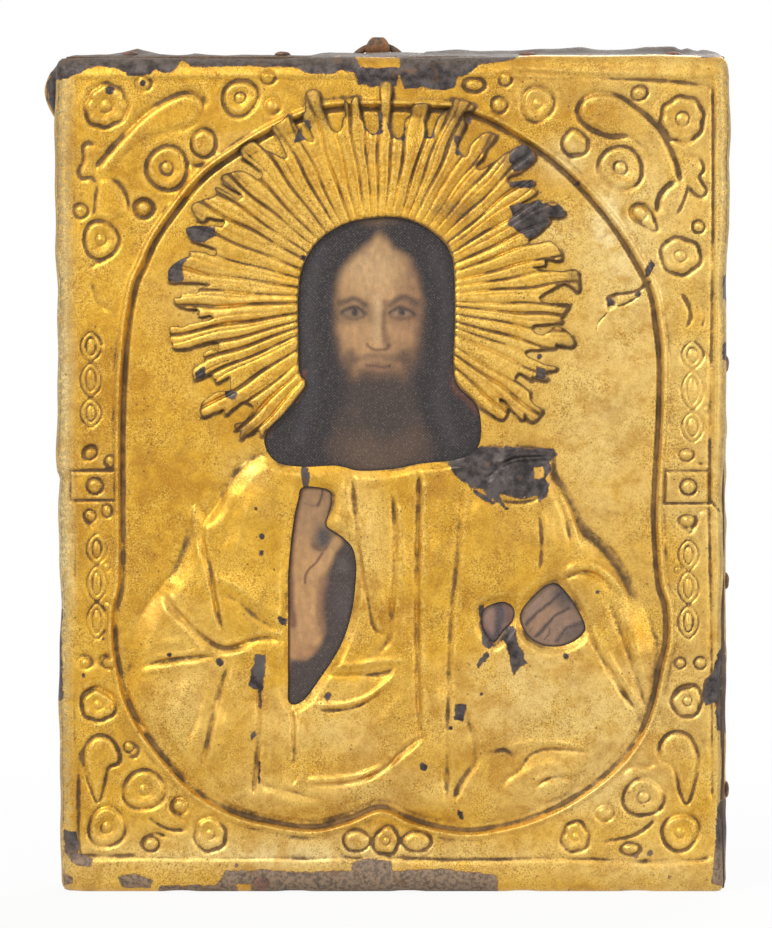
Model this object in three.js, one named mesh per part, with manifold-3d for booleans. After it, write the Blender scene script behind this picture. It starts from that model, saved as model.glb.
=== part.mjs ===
// An orthodox icon: a painted wooden panel under a stamped gilt cover with a rayed halo plate.
// Millimetres, +Z up, the painted side faces -Y, and the origin is the middle of the bottom edge.
// The pieces are drawn lying on their backs (x right, y up the panel, z out of the painted face)
// and one turned group stands them up.

import * as THREE from "three";
import { mergeVertices } from "three/addons/utils/BufferGeometryUtils.js";
import Module from "manifold-3d";

const wasm = await Module();
wasm.setup();

// Panel, ground and cover
const boardWidth = 174.2;
const boardHeight = 220.2;
const boardThickness = 20;
const groundThickness = 1.2;
const sheet = 0.5;
const seatGap = 0.3;
const skirtDepth = 14;
const sideBend = 3.2;
const endBend = 5.5;
const bendDepth = 4.5;
const cornerRadius = 3.5;
const overrun = 2;

// Forms of domes: how far out the top starts, and how high the shoulder is
const domeShare = 0.6;
const shoulderShare = 0.9;
const roundelRimShare = 0.84;
const roundelDipShare = 0.45;

// Stamped levels of the cover, above the level that carries them
const borderRise = 0.8;
const rimRise = 0.4;
const ribRise = 0.5;
const ribWidth = 2;
const robeRise = 1.6;
const foldRise = 0.8;
const foldWidth = 3;
const foldStep = 4.4;
const ornamentRise = 0.7;
const ornamentSink = 0.2;
const largeRoundel = 6;
const middleRoundel = 5.3;
const smallRoundel = 4.1;
const largeBead = 2.5;
const smallBead = 1.8;
const linkWidth = 3;
const longLinkStretch = 3;
const leafSlope = 0.9;

// Halo plate
const haloSheet = 0.6;
const rayRise = 0.9;

// Battens let into the back
const battenHeight = 24;
const battenTaper = 3;
const battenSink = 6;
const battenProud = 2.5;
const battenUndercut = 2;
const battenInset = 32;

// Nails
const nailHeadRadius = 2.3;
const nailHeadHeight = 0.8;
const nailShankRadius = 0.7;
const nailLength = 9;
const nailFit = 0.3;
const bottomNailHeight = 2.5;
const bottomNailTilt = THREE.MathUtils.degToRad(35);
const emptyHoleRadius = 1;

// Folded strap and ring that hang the panel
const strapSheet = 0.8;
const strapBore = 1.8;
const strapHeadWidth = 6.6;
const strapShoulderWidth = 19.5;
const strapTailWidth = 12;
const strapTailDrop = 22;
const strapAbove = 6.7;
const ringWire = 1.9;
const ringRadius = 8.5;
const ringSegments = 28;
const hangerNailSpacing = 6;
const hangerNailDrop = 18;
const hangerNailHead = 1.6;

// Levels above the painted surface
const fieldTop = seatGap + sheet;
const borderTop = fieldTop + borderRise;
const rimTop = borderTop + rimRise;
const robeTop = fieldTop + robeRise;
const haloSeat = borderTop + seatGap;
const haloTop = haloSeat + haloSheet;
const boardFront = -groundThickness;
const boardBack = boardFront - boardThickness;
const skirtBack = -skirtDepth;
const coverWidth = boardWidth + 2 * (sheet + seatGap);
const coverHeight = boardHeight + 2 * (sheet + seatGap);

// Places on the face are pixels of a straight front view, in which the cover fills this frame.
const frameLeftPx = 62;
const frameRightPx = 728;
const frameTopPx = 52;
const frameFootPx = 893;
const acrossPx = coverWidth / (frameRightPx - frameLeftPx);
const upPx = coverHeight / (frameFootPx - frameTopPx);

function spot([px, py]) {
  const middlePx = (frameLeftPx + frameRightPx) / 2;
  return new THREE.Vector2((px - middlePx) * acrossPx, (frameFootPx - py) * upPx);
}

// Centre line of the moulding that frames the figure
const archPx = [
  [378, 107], [449, 109], [472, 114], [500, 126], [550, 158], [583, 189], [619, 233], [649, 286],
  [657, 323], [661, 363], [660, 420], [657, 470], [655, 520], [659, 581], [666, 606], [667, 639],
  [661, 667], [654, 700], [644, 728], [626, 756], [600, 781], [566, 804], [533, 819], [500, 828],
  [470, 832], [440, 829], [411, 821], [381, 809], [348, 821], [311, 829], [262, 822], [229, 812],
  [196, 793], [171, 769], [143, 733], [126, 700], [118, 667], [114, 640], [115, 610], [121, 581],
  [121, 500], [121, 420], [125, 345], [133, 291], [143, 266], [159, 233], [200, 180], [240, 150],
  [270, 132], [300, 118], [331, 108],
];

// Openings of the cover
const headPx = [
  [389, 217], [350, 222], [320, 239], [303, 265], [298, 295], [298, 335], [299, 372], [305, 385],
  [285, 412], [266, 433], [266, 449], [278, 463], [303, 467], [336, 466], [360, 471], [394, 469],
  [419, 464], [449, 461], [469, 455], [479, 445], [481, 425], [476, 404], [455, 378], [455, 320],
  [454, 270], [449, 250], [437, 236], [415, 222],
];
const raisedHandPx = [
  [303, 487], [329, 490], [332, 502], [329, 515], [327, 526], [341, 536], [352, 547], [356, 562],
  [356, 578], [353, 606], [347, 630], [338, 651], [322, 676], [303, 701], [289, 703], [288, 680],
  [288, 650], [288, 606], [288, 576], [290, 550], [294, 518], [298, 500],
];
const fingerTipPx = [
  [482, 611], [492, 604], [505, 602], [514, 609], [513, 621], [504, 631], [494, 643], [486, 636],
  [481, 624],
];
const fingersPx = [
  [555, 583], [566, 592], [577, 608], [585, 625], [583, 634], [571, 643], [556, 647], [541, 645],
  [528, 637], [520, 622], [521, 611], [530, 599], [542, 588],
];

// The robe stands out of the field inside this outline
const robePx = [
  [262, 453], [240, 467], [224, 488], [212, 508], [204, 514], [196, 508], [191, 515], [188, 532],
  [182, 556], [174, 574], [160, 590], [148, 606], [138, 630], [130, 655], [129, 690], [138, 715],
  [158, 743], [182, 772], [204, 789], [233, 804], [266, 814], [311, 820], [346, 812], [381, 799],
  [413, 812], [441, 820], [470, 823], [498, 819], [530, 810], [563, 795], [596, 773], [620, 750],
  [637, 723], [647, 697], [654, 665], [655, 645], [645, 615], [630, 584], [616, 558], [600, 542],
  [586, 528], [577, 508], [564, 489], [554, 473], [552, 455], [530, 448], [500, 447], [478, 449],
  [440, 440], [378, 436], [310, 440],
];

// Folds of the robe: ridges rise from it and grooves sink into it
const ridgesPx = [
  [[197, 505], [194, 525], [203, 562], [213, 598], [222, 636]],
  [[216, 576], [242, 589], [267, 606], [285, 621]],
  [[274, 655], [275, 720], [274, 780]],
  [[330, 666], [380, 662], [403, 658]],
  [[316, 702], [345, 702], [373, 692], [396, 672]],
  [[316, 780], [353, 778], [386, 766], [413, 743]],
  [[500, 482], [515, 477], [532, 476]],
  [[560, 497], [571, 515], [577, 540]],
  [[566, 572], [583, 563], [600, 568], [618, 584]],
  [[500, 786], [514, 770], [533, 762], [560, 766]],
  [[533, 800], [543, 785], [560, 779], [578, 783]],
  [[625, 606], [634, 640], [645, 690]],
];
const groovesPx = [
  [[166, 590], [176, 608], [192, 626], [212, 641], [229, 647], [246, 644], [262, 637], [285, 640]],
  [[146, 664], [170, 659], [200, 655], [228, 655]],
  [[227, 668], [217, 705], [209, 743], [199, 773]],
  [[204, 688], [192, 723]],
  [[240, 490], [229, 523], [221, 556]],
  [[257, 690], [258, 740], [254, 795]],
  [[291, 705], [293, 762]],
  [[351, 476], [356, 520], [360, 550], [366, 585], [372, 615], [378, 640]],
  [[395, 520], [395, 573], [390, 622], [380, 652]],
  [[418, 473], [417, 556], [417, 622], [419, 735]],
  [[464, 486], [457, 548], [454, 589], [449, 631], [447, 700], [450, 780]],
  [[540, 506], [541, 540], [538, 573]],
  [[568, 500], [573, 545]],
  [[466, 715], [474, 745], [470, 765], [458, 785], [452, 805]],
  [[585, 627], [598, 653], [616, 680], [633, 705]],
  [[609, 599], [619, 627], [629, 656], [640, 690]],
  [[486, 752], [500, 749], [514, 756]],
];

// Ornament of the border, each a list of places of one size
const largeRoundelsPx = [[106, 106], [167, 168], [620, 168], [682, 119], [680, 256], [144, 790]];
const middleRoundelsPx = [[240, 98], [101, 240], [537, 104], [107, 827], [643, 797], [680, 832]];
const smallRoundelsPx = [[210, 834], [575, 837], [386, 841], [98, 705], [687, 701]];
const largeBeadsPx = [
  [143, 84], [268, 78], [272, 106], [639, 93], [474, 85], [499, 105], [180, 804], [604, 813],
  [95, 486], [688, 487],
];
const smallBeadsPx = [
  [143, 207], [81, 211], [639, 212], [698, 227], [505, 80], [90, 453], [110, 462], [90, 516],
  [107, 511], [85, 663], [110, 663], [129, 747], [151, 844], [686, 455], [687, 521], [680, 663],
  [700, 663], [630, 849],
];
const roundLinksPx = [
  [90, 352], [90, 414], [96, 550], [97, 619], [691, 354], [691, 426], [687, 553], [688, 619],
];
const longLinksPx = [[91, 383], [96, 587], [691, 391], [688, 586]];
const leavesPx = [
  [
    [97, 166], [112, 145], [134, 124], [158, 106], [184, 92], [200, 99], [203, 113], [190, 127],
    [160, 132], [135, 144], [118, 160], [106, 176],
  ],
  [
    [580, 103], [600, 94], [624, 101], [650, 124], [667, 150], [678, 182], [668, 180], [650, 153],
    [628, 130], [604, 131], [583, 119],
  ],
  [[204, 128], [215, 140], [212, 156], [200, 160], [191, 150], [195, 138]],
  [[563, 142], [574, 130], [588, 141], [583, 153], [567, 153]],
  [[97, 194], [110, 186], [124, 198], [119, 212], [106, 216], [96, 207]],
  [[652, 196], [664, 188], [680, 195], [678, 208], [664, 216], [654, 209]],
  [[84, 752], [92, 740], [106, 738], [117, 750], [108, 762], [104, 784], [95, 800], [86, 781]],
  [[662, 752], [672, 737], [688, 734], [697, 752], [696, 779], [686, 801], [679, 780], [673, 762]],
  [[345, 832], [362, 834], [369, 842], [360, 850], [346, 849]],
  [[406, 834], [423, 833], [426, 847], [412, 850], [403, 842]],
];
const plaquesPx = [
  [[71, 471], [115, 471], [115, 500], [71, 500]],
  [[666, 471], [709, 471], [709, 503], [666, 503]],
];
const rimInnerPx = [[76, 80], [712, 80], [712, 858], [76, 858]];

// Halo: rays spread from one point, long ones given by the middle of the tip and its width
const haloCentrePx = [377, 300];
const haloRimPx = 166;
const haloRootPx = 60;
const shortRayWidthPx = 15;
const raysPx = [
  [238, 431, 12], [203, 408, 20], [195, 371, 14], [171, 338, 20], [177, 301, 13], [168, 271, 22],
  [186, 233, 17], [194, 207, 18], [222, 177, 12], [243, 150, 15], [272, 126, 12], [290, 115, 10],
  [312, 93, 15], [352, 99, 14], [386, 83, 12], [420, 104, 14], [459, 103, 17], [491, 134, 14],
  [528, 156, 20], [532, 186, 14], [562, 211, 16], [560, 252, 15], [578, 281, 20], [568, 310, 15],
  [572, 339, 18], [552, 370, 18], [537, 411, 17], [504, 415, 14],
];

// The folded sheet that stands out at the upper left corner
const foldedCornerPx = [[62, 57], [55, 64], [47, 72], [42, 84], [40, 90], [55, 118], [62, 119]];
const foldedCornerBack = 8;
const foldedCornerSpreadShare = 0.2;

// Three points of an outline count as straight below this share of their length
const straightShare = 0.004;

// How many points each curved outline is drawn through
const archPoints = 72;
const robePoints = 60;
const headPoints = 36;
const handPoints = 28;
const fingerPoints = 14;
const roundelSides = 12;
const beadSides = 8;
const nailSides = 8;
const holeSides = 10;
const boreSides = 24;
const wireSides = 8;
const domeSteps = 8;
const cornerSteps = 4;
const bendSteps = 4;

// Where the nails are, as shares of the side that each runs along
const sideNailShares = [0.12, 0.37, 0.63, 0.88];
const topNailShares = [0.1, 0.33, 0.7, 0.92];
const bottomNailPx = 261;
const emptyHolesPx = [404, 570, 634];

// Geometry helpers

function positionOnly(geometry) {
  const copy = geometry.index ? geometry.toNonIndexed() : geometry.clone();
  for (const name of Object.keys(copy.attributes)) {
    if (name !== "position") {
      copy.deleteAttribute(name);
    }
  }
  return mergeVertices(copy);
}

function solid(geometry) {
  const merged = positionOnly(geometry);
  const mesh = new wasm.Mesh({
    numProp: 3,
    vertProperties: merged.attributes.position.array,
    triVerts: new Uint32Array(merged.index.array),
  });
  return new wasm.Manifold(mesh);
}

function joined(solids) {
  return solids.reduce((whole, next) => whole.add(next));
}

function cut(whole, tools) {
  return tools.reduce((rest, tool) => rest.subtract(tool), whole);
}

function geometryOf(made) {
  const mesh = made.getMesh();
  const geometry = new THREE.BufferGeometry();
  geometry.setAttribute("position", new THREE.BufferAttribute(mesh.vertProperties, 3));
  geometry.setIndex(new THREE.BufferAttribute(mesh.triVerts, 1));
  const flat = geometry.toNonIndexed();
  flat.computeVertexNormals();
  return flat;
}

// An outline is an anticlockwise list of points.
function anticlockwise(points) {
  return THREE.ShapeUtils.isClockWise(points) ? [...points].reverse() : points;
}

// The outline without the points that a straight stretch doesn't need
function withoutStraightPoints(outline) {
  return outline.filter((point, i) => {
    const before = outline.at(i - 1);
    const after = outline[(i + 1) % outline.length];
    const turn = point.clone().sub(before).cross(after.clone().sub(point));
    return Math.abs(turn) > straightShare * before.distanceToSquared(after);
  });
}

function curved(places, count) {
  const curve = new THREE.CatmullRomCurve3(
    places.map((place) => new THREE.Vector3(...spot(place).toArray(), 0)),
    true,
    "centripetal",
  );
  const points = curve.getPoints(count).slice(0, -1);
  const outline = points.map((p) => new THREE.Vector2(p.x, p.y));
  return anticlockwise(withoutStraightPoints(outline));
}

function cornered(places) {
  return anticlockwise(places.map(spot));
}

// The outline moved out by a distance, or in where it is negative.
function grown(outline, distance) {
  return outline.map((point, i) => {
    const before = outline.at(i - 1);
    const after = outline[(i + 1) % outline.length];
    const along = after.clone().sub(before).normalize();
    return new THREE.Vector2(point.x + along.y * distance, point.y - along.x * distance);
  });
}

// A closed solid through rings of equally many points, each { outline, z }, from low to high.
function loft(rings) {
  const count = rings[0].outline.length;
  const positions = rings.flatMap(({ outline, z }) => outline.flatMap((p) => [p.x, p.y, z]));
  const faces = [];
  for (let k = 0; k + 1 < rings.length; k += 1) {
    for (let i = 0; i < count; i += 1) {
      const a = k * count + i;
      const b = k * count + ((i + 1) % count);
      faces.push(a, b, b + count, a, b + count, a + count);
    }
  }
  const last = (rings.length - 1) * count;
  for (const [a, b, c] of THREE.ShapeUtils.triangulateShape(rings[0].outline, [])) {
    faces.push(c, b, a);
  }
  for (const [a, b, c] of THREE.ShapeUtils.triangulateShape(rings.at(-1).outline, [])) {
    faces.push(last + a, last + b, last + c);
  }
  const geometry = new THREE.BufferGeometry();
  geometry.setAttribute("position", new THREE.Float32BufferAttribute(positions, 3));
  geometry.setIndex(faces);
  return solid(geometry);
}

function slab(outline, low, high) {
  return loft([{ outline, z: low }, { outline, z: high }]);
}

// A bar of one section, a list of [outward, height], swept round a closed outline.
function mouldingRound(outline, section) {
  const rings = section.map(([outward]) => grown(outline, outward));
  const count = outline.length;
  const positions = [];
  const faces = [];
  section.forEach(([, height], k) => {
    rings[k].forEach((p) => positions.push(p.x, p.y, height));
  });
  for (let k = 0; k < section.length; k += 1) {
    const next = (k + 1) % section.length;
    for (let i = 0; i < count; i += 1) {
      const j = (i + 1) % count;
      const corners = [k * count + i, k * count + j, next * count + j, next * count + i];
      faces.push(corners[0], corners[1], corners[2], corners[0], corners[2], corners[3]);
    }
  }
  const geometry = new THREE.BufferGeometry();
  geometry.setAttribute("position", new THREE.Float32BufferAttribute(positions, 3));
  geometry.setIndex(faces);
  return solid(geometry);
}

// A turned solid whose axis is z, from [radius, z] pairs that start and end on the axis.
function turned(profile, segments) {
  const points = profile.map(([radius, z]) => new THREE.Vector2(radius, z));
  return new THREE.LatheGeometry(points, segments).rotateX(Math.PI / 2);
}

function box(lowCorner, highCorner) {
  const size = highCorner.map((high, i) => high - lowCorner[i]);
  const middle = highCorner.map((high, i) => (high + lowCorner[i]) / 2);
  return solid(new THREE.BoxGeometry(...size).translate(...middle));
}

// Rectangle with round corners, standing on y = foot, the same number of points for every size
function roundedRectangle(width, foot, top, radius) {
  const corners = [
    [width / 2 - radius, foot + radius, -Math.PI / 2],
    [width / 2 - radius, top - radius, 0],
    [radius - width / 2, top - radius, Math.PI / 2],
    [radius - width / 2, foot + radius, Math.PI],
  ];
  return corners.flatMap(([x, y, start]) =>
    Array.from({ length: cornerSteps + 1 }, (_, i) => {
      const angle = start + ((Math.PI / 2) * i) / cornerSteps;
      return new THREE.Vector2(x + radius * Math.cos(angle), y + radius * Math.sin(angle));
    }),
  );
}

// The panel's outer form drawn in by a distance: flat sides, and front edges that bend round.
function envelope(inset, low, high) {
  const rings = [{ width: coverWidth, foot: 0, z: low }];
  for (let i = 0; i <= bendSteps; i += 1) {
    const angle = ((Math.PI / 2) * i) / bendSteps;
    rings.push({
      width: coverWidth - 2 * (sideBend - inset) * (1 - Math.cos(angle)),
      foot: (endBend - inset) * (1 - Math.cos(angle)),
      z: high - (bendDepth - inset) * (1 - Math.sin(angle)),
    });
  }
  return loft(
    rings.map(({ width, foot, z }) => {
      const radius = Math.max(cornerRadius - inset, inset);
      const outline = roundedRectangle(
        width - 2 * inset,
        foot + inset,
        coverHeight - foot - inset,
        radius,
      );
      return { outline, z };
    }),
  );
}

// Relief helpers

function distanceToPath(point, path) {
  let nearest = Infinity;
  for (let i = 0; i + 1 < path.length; i += 1) {
    const start = path[i];
    const step = path[i + 1].clone().sub(start);
    const share = THREE.MathUtils.clamp(
      point.clone().sub(start).dot(step) / step.lengthSq(),
      0,
      1,
    );
    nearest = Math.min(nearest, point.distanceTo(start.clone().addScaledVector(step, share)));
  }
  return nearest;
}

function foldShape(distance) {
  return Math.exp(-((distance / foldWidth) ** 2) * 2);
}

const ridgePaths = ridgesPx.map((path) => path.map(spot));
const groovePaths = groovesPx.map((path) => path.map(spot));

function robeHeight(point) {
  const ridges = ridgePaths.map((path) => foldShape(distanceToPath(point, path)));
  const grooves = groovePaths.map((path) => foldShape(distanceToPath(point, path)));
  return robeTop + foldRise * (Math.max(...ridges) - Math.max(...grooves));
}

// The robe's relief is a grid of heights closed to a flat underside, clipped by its outline, which
// slopes in as it rises.
function robeRelief(outline, underside) {
  const low = new THREE.Vector2(Infinity, Infinity);
  const high = new THREE.Vector2(-Infinity, -Infinity);
  outline.forEach((p) => {
    low.min(p);
    high.max(p);
  });
  const columns = Math.ceil((high.x - low.x) / foldStep);
  const rows = Math.ceil((high.y - low.y) / foldStep);
  const at = (i, j) => j * (columns + 1) + i;
  const positions = [];
  const faces = [];
  for (let j = 0; j <= rows; j += 1) {
    for (let i = 0; i <= columns; i += 1) {
      const x = low.x + ((high.x - low.x) * i) / columns;
      const y = low.y + ((high.y - low.y) * j) / rows;
      positions.push(x, y, robeHeight(new THREE.Vector2(x, y)));
      if (i < columns && j < rows) {
        faces.push(at(i, j), at(i + 1, j), at(i + 1, j + 1));
        faces.push(at(i, j), at(i + 1, j + 1), at(i, j + 1));
      }
    }
  }
  const rim = [];
  for (let i = 0; i < columns; i += 1) {
    rim.push(at(i, 0));
  }
  for (let j = 0; j < rows; j += 1) {
    rim.push(at(columns, j));
  }
  for (let i = columns; i > 0; i -= 1) {
    rim.push(at(i, rows));
  }
  for (let j = rows; j > 0; j -= 1) {
    rim.push(at(0, j));
  }
  const below = positions.length / 3;
  rim.forEach((index) => positions.push(positions[3 * index], positions[3 * index + 1], underside));
  const middle = positions.length / 3;
  positions.push((low.x + high.x) / 2, (low.y + high.y) / 2, underside);
  rim.forEach((index, k) => {
    const next = (k + 1) % rim.length;
    faces.push(below + k, below + next, rim[next], below + k, rim[next], index);
    faces.push(middle, below + next, below + k);
  });
  const geometry = new THREE.BufferGeometry();
  geometry.setAttribute("position", new THREE.Float32BufferAttribute(positions, 3));
  geometry.setIndex(faces);
  const edge = loft([
    { outline: grown(outline, robeRise / 2), z: underside },
    { outline: grown(outline, -robeRise / 2), z: robeTop + foldRise },
  ]);
  return solid(geometry).intersect(edge);
}

function placed(geometry, place, z) {
  const { x, y } = spot(place);
  return solid(geometry.clone().translate(x, y, z));
}

function roundel(radius) {
  const floor = -ornamentSink;
  return turned(
    [
      [0, floor],
      [radius, floor],
      [radius * roundelRimShare, ornamentRise * shoulderShare],
      [radius * roundelDipShare, ornamentRise / 2],
      [0, ornamentRise],
    ],
    roundelSides,
  );
}

function bead(radius) {
  return turned(
    [
      [0, -ornamentSink],
      [radius, -ornamentSink],
      [radius * domeShare, ornamentRise * shoulderShare],
      [0, ornamentRise],
    ],
    beadSides,
  );
}

function raisedLeaf(outline) {
  return loft([
    { outline, z: borderTop - ornamentSink },
    { outline: grown(outline, -leafSlope), z: borderTop + ornamentRise },
  ]);
}

function borderOrnament() {
  const groups = [
    [largeRoundelsPx, roundel(largeRoundel)],
    [middleRoundelsPx, roundel(middleRoundel)],
    [smallRoundelsPx, roundel(smallRoundel)],
    [largeBeadsPx, bead(largeBead)],
    [smallBeadsPx, bead(smallBead)],
    [roundLinksPx, bead(linkWidth)],
    [longLinksPx, bead(linkWidth / 2).scale(1, longLinkStretch, 1)],
  ];
  const turnedOnes = groups.flatMap(([places, geometry]) =>
    places.map((place) => placed(geometry, place, borderTop)),
  );
  const leaves = leavesPx.map((places) => raisedLeaf(cornered(places)));
  const plaques = plaquesPx.map((places) => raisedLeaf(cornered(places)));
  return [...plaques, ...leaves, ...turnedOnes];
}

// Nails

function nailGeometry(headRadius, fit) {
  const shank = nailShankRadius + fit;
  return turned(
    [
      [0, -nailLength - fit],
      [shank, -nailLength + nailShankRadius * 2],
      [shank, -fit],
      [headRadius + fit, -fit],
      [headRadius + fit, nailHeadHeight / 2 + fit],
      [headRadius * domeShare + fit, nailHeadHeight + fit],
      [0, nailHeadHeight + fit],
    ],
    nailSides,
  );
}

// Each nail has the place of its head's underside and the direction that the head faces.
function coverNails() {
  const seat = seatGap;
  const deep = skirtBack / 2;
  const left = new THREE.Vector3(-1, 0, 0);
  const right = new THREE.Vector3(1, 0, 0);
  const up = new THREE.Vector3(0, 1, 0);
  const nails = [];
  sideNailShares.forEach((share, i) => {
    const y = share * coverHeight;
    const x = coverWidth / 2 + seat;
    const leftPlace = new THREE.Vector3(-x, y, deep);
    const rightPlace = new THREE.Vector3(x, y, deep);
    nails.push({ name: `cover_nail_left_${i + 1}`, at: leftPlace, facing: left });
    nails.push({ name: `cover_nail_right_${i + 1}`, at: rightPlace, facing: right });
  });
  topNailShares.forEach((share, i) => {
    const at = new THREE.Vector3((share - 1 / 2) * coverWidth, coverHeight + seat, deep);
    nails.push({ name: `cover_nail_top_${i + 1}`, at, facing: up });
  });
  nails.push({ name: "cover_nail_bottom", ...bottomBendPlace(bottomNailPx) });
  return nails;
}

// A place on the bend of the bottom edge, with the direction square to a nail driven there
function bottomBendPlace(px) {
  const turn = Math.acos(1 - bottomNailHeight / endBend);
  const depth = rimTop - bendDepth * (1 - Math.sin(turn));
  const facing = new THREE.Vector3(0, -Math.sin(bottomNailTilt), Math.cos(bottomNailTilt));
  const { x } = spot([px, frameFootPx]);
  const at = new THREE.Vector3(x, bottomNailHeight, depth).addScaledVector(facing, -nailHeadHeight / 2);
  return { at, facing };
}

function atPlace(geometry, { at, facing }) {
  const turn = new THREE.Quaternion().setFromUnitVectors(new THREE.Vector3(0, 0, 1), facing);
  return geometry.clone().applyQuaternion(turn).translate(at.x, at.y, at.z);
}

const nails = coverNails();
const nailSpaces = nails.map((nail) => solid(atPlace(nailGeometry(nailHeadRadius, nailFit), nail)));

function emptyHoles() {
  const profile = [
    [0, -nailLength],
    [emptyHoleRadius, -nailLength],
    [emptyHoleRadius, overrun],
    [0, overrun],
  ];
  return emptyHolesPx.map((px) => solid(atPlace(turned(profile, holeSides), bottomBendPlace(px))));
}

// Panel, ground and battens

// A wedge batten from the left side to the right, grown on every side by a fit.
function batten(middle, wideEnd, fit) {
  const section = (x, height) => {
    const half = height / 2 + fit;
    const front = boardBack + battenSink + fit;
    const back = boardBack - battenProud;
    return [
      [x, middle - half, front],
      [x, middle + half, front],
      [x, middle + half - battenUndercut, boardBack],
      [x, middle + half - battenUndercut, back],
      [x, middle - half + battenUndercut, back],
      [x, middle - half + battenUndercut, boardBack],
    ];
  };
  const reach = fit > 0 ? coverWidth / 2 + overrun : boardWidth / 2;
  const ends = [-1, 1].map((side) =>
    section(side * reach, battenHeight + (side === wideEnd ? battenTaper : -battenTaper)),
  );
  const positions = ends.flat(2);
  const count = ends[0].length;
  const faces = [];
  for (let i = 0; i < count; i += 1) {
    const j = (i + 1) % count;
    faces.push(i, i + count, j + count, i, j + count, j);
  }
  for (let i = 1; i + 1 < count; i += 1) {
    faces.push(0, i, i + 1, count, count + i + 1, count + i);
  }
  const geometry = new THREE.BufferGeometry();
  geometry.setAttribute("position", new THREE.Float32BufferAttribute(positions, 3));
  geometry.setIndex(faces);
  return solid(geometry);
}

const battenMiddles = {
  upper: coverHeight - battenInset - battenHeight / 2,
  lower: battenInset + battenHeight / 2,
};

function panelBoard(hangerNailSpaces) {
  const form = envelope(sheet + seatGap, boardBack, 0);
  const front = box(
    [-coverWidth, -overrun, boardFront],
    [coverWidth, coverHeight + overrun, overrun],
  );
  const grooves = [
    batten(battenMiddles.upper, 1, nailFit),
    batten(battenMiddles.lower, -1, nailFit),
  ];
  return cut(form, [front, ...grooves, ...nailSpaces, ...emptyHoles(), ...hangerNailSpaces]);
}

function paintedGround() {
  const form = envelope(sheet + seatGap, boardFront - bendDepth, 0);
  const behind = box(
    [-coverWidth, -overrun, boardFront - bendDepth - overrun],
    [coverWidth, coverHeight + overrun, boardFront],
  );
  return cut(form, [behind, ...nailSpaces, ...emptyHoles()]);
}

// Cover sheet

// The corner's spare sheet, pressed out: narrow at the front and spread to its edge behind
function foldedCorner() {
  const spread = cornered(foldedCornerPx);
  const edge = -coverWidth / 2 + sheet / 2;
  const narrow = spread.map(
    ({ x, y }) => new THREE.Vector2(x < edge ? edge + (x - edge) * foldedCornerSpreadShare : x, y),
  );
  return loft([
    { outline: narrow, z: -foldedCornerBack - sheet },
    { outline: spread, z: -foldedCornerBack },
    { outline: narrow, z: -sheet },
  ]);
}

function coverSheet() {
  const arch = curved(archPx, archPoints);
  const head = curved(headPx, headPoints);
  const robe = curved(robePx, robePoints);
  const rimInner = cornered(rimInnerPx);
  const shell = envelope(0, skirtBack, rimTop).subtract(
    envelope(sheet, skirtBack - overrun, seatGap),
  );
  const pocketFrame = cut(slab(grown(rimInner, -sheet), seatGap - sheet, borderTop - sheet), [
    slab(grown(arch, sheet), -sheet, borderTop),
  ]);
  const base = cut(shell, [
    slab(rimInner, borderTop, rimTop + overrun),
    slab(grown(arch, -ribWidth / 2), fieldTop, rimTop + overrun),
    pocketFrame,
  ]);
  const ribSection = [
    [-ribWidth / 2, fieldTop - ornamentSink],
    [ribWidth / 2, fieldTop - ornamentSink],
    [ribWidth / 4, borderTop + ribRise],
    [-ribWidth / 4, borderTop + ribRise],
  ];
  const raised = joined([
    base,
    mouldingRound(arch, ribSection),
    ...borderOrnament(),
    robeRelief(robe, seatGap + sheet / 2),
    foldedCorner(),
  ]);
  const openings = [
    head,
    curved(raisedHandPx, handPoints),
    curved(fingerTipPx, fingerPoints),
    curved(fingersPx, fingerPoints),
  ];
  const hollow = slab(grown(robe, -sheet), -sheet, robeTop - foldRise - sheet);
  return cut(raised, [
    hollow,
    ...openings.map((outline) => slab(outline, -overrun, haloTop + overrun)),
    ...haloParts(seatGap, haloSeat - seatGap, overrun),
    ...nailSpaces,
    ...emptyHoles(),
  ]);
}

// Halo plate

function rayOutline(tip, width, root, fit) {
  const centre = spot(haloCentrePx);
  const along = tip.clone().sub(centre).normalize();
  const across = new THREE.Vector2(-along.y, along.x);
  const half = width / 2 + fit;
  const rootHalf = (width * root) / (2 * tip.distanceTo(centre)) + fit;
  const start = centre.clone().addScaledVector(along, root);
  const end = tip.clone().addScaledVector(along, fit);
  return [
    start.clone().addScaledVector(across, -rootHalf),
    end.clone().addScaledVector(across, -half),
    end.clone().addScaledVector(across, half),
    start.clone().addScaledVector(across, rootHalf),
  ];
}

// The long rays and, between each two of them, a short one
function allRays() {
  const centre = spot(haloCentrePx);
  const rim = haloRimPx * acrossPx;
  const long = raysPx.map(([x, y, width]) => ({ tip: spot([x, y]), width: width * acrossPx }));
  const short = long.slice(1).map(({ tip }, i) => {
    const between = tip.clone().sub(centre).normalize().add(
      long[i].tip.clone().sub(centre).normalize(),
    );
    return {
      tip: centre.clone().addScaledVector(between.normalize(), rim),
      width: shortRayWidthPx * acrossPx,
    };
  });
  return { long, short };
}

function haloFan() {
  const centre = spot(haloCentrePx);
  const { long, short } = allRays();
  const rim = haloRimPx * acrossPx;
  const ends = long.flatMap((ray, i) => (short[i] ? [ray, short[i]] : [ray]));
  const points = ends.map(({ tip }) => {
    const along = tip.clone().sub(centre).normalize();
    return centre.clone().addScaledVector(along, rim - rayRise);
  });
  return anticlockwise([centre, ...points]);
}

// The halo's plan as solids between two levels, grown by a fit: the fan and its long rays
function haloParts(fit, low, reach) {
  const { long } = allRays();
  const high = haloTop + rayRise + reach;
  const fan = slab(grown(haloFan(), fit), low, high);
  const root = haloRootPx * acrossPx;
  const fingers = long.map(({ tip, width }) => slab(rayOutline(tip, width, root, fit), low, high));
  return [fan, ...fingers];
}

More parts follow.
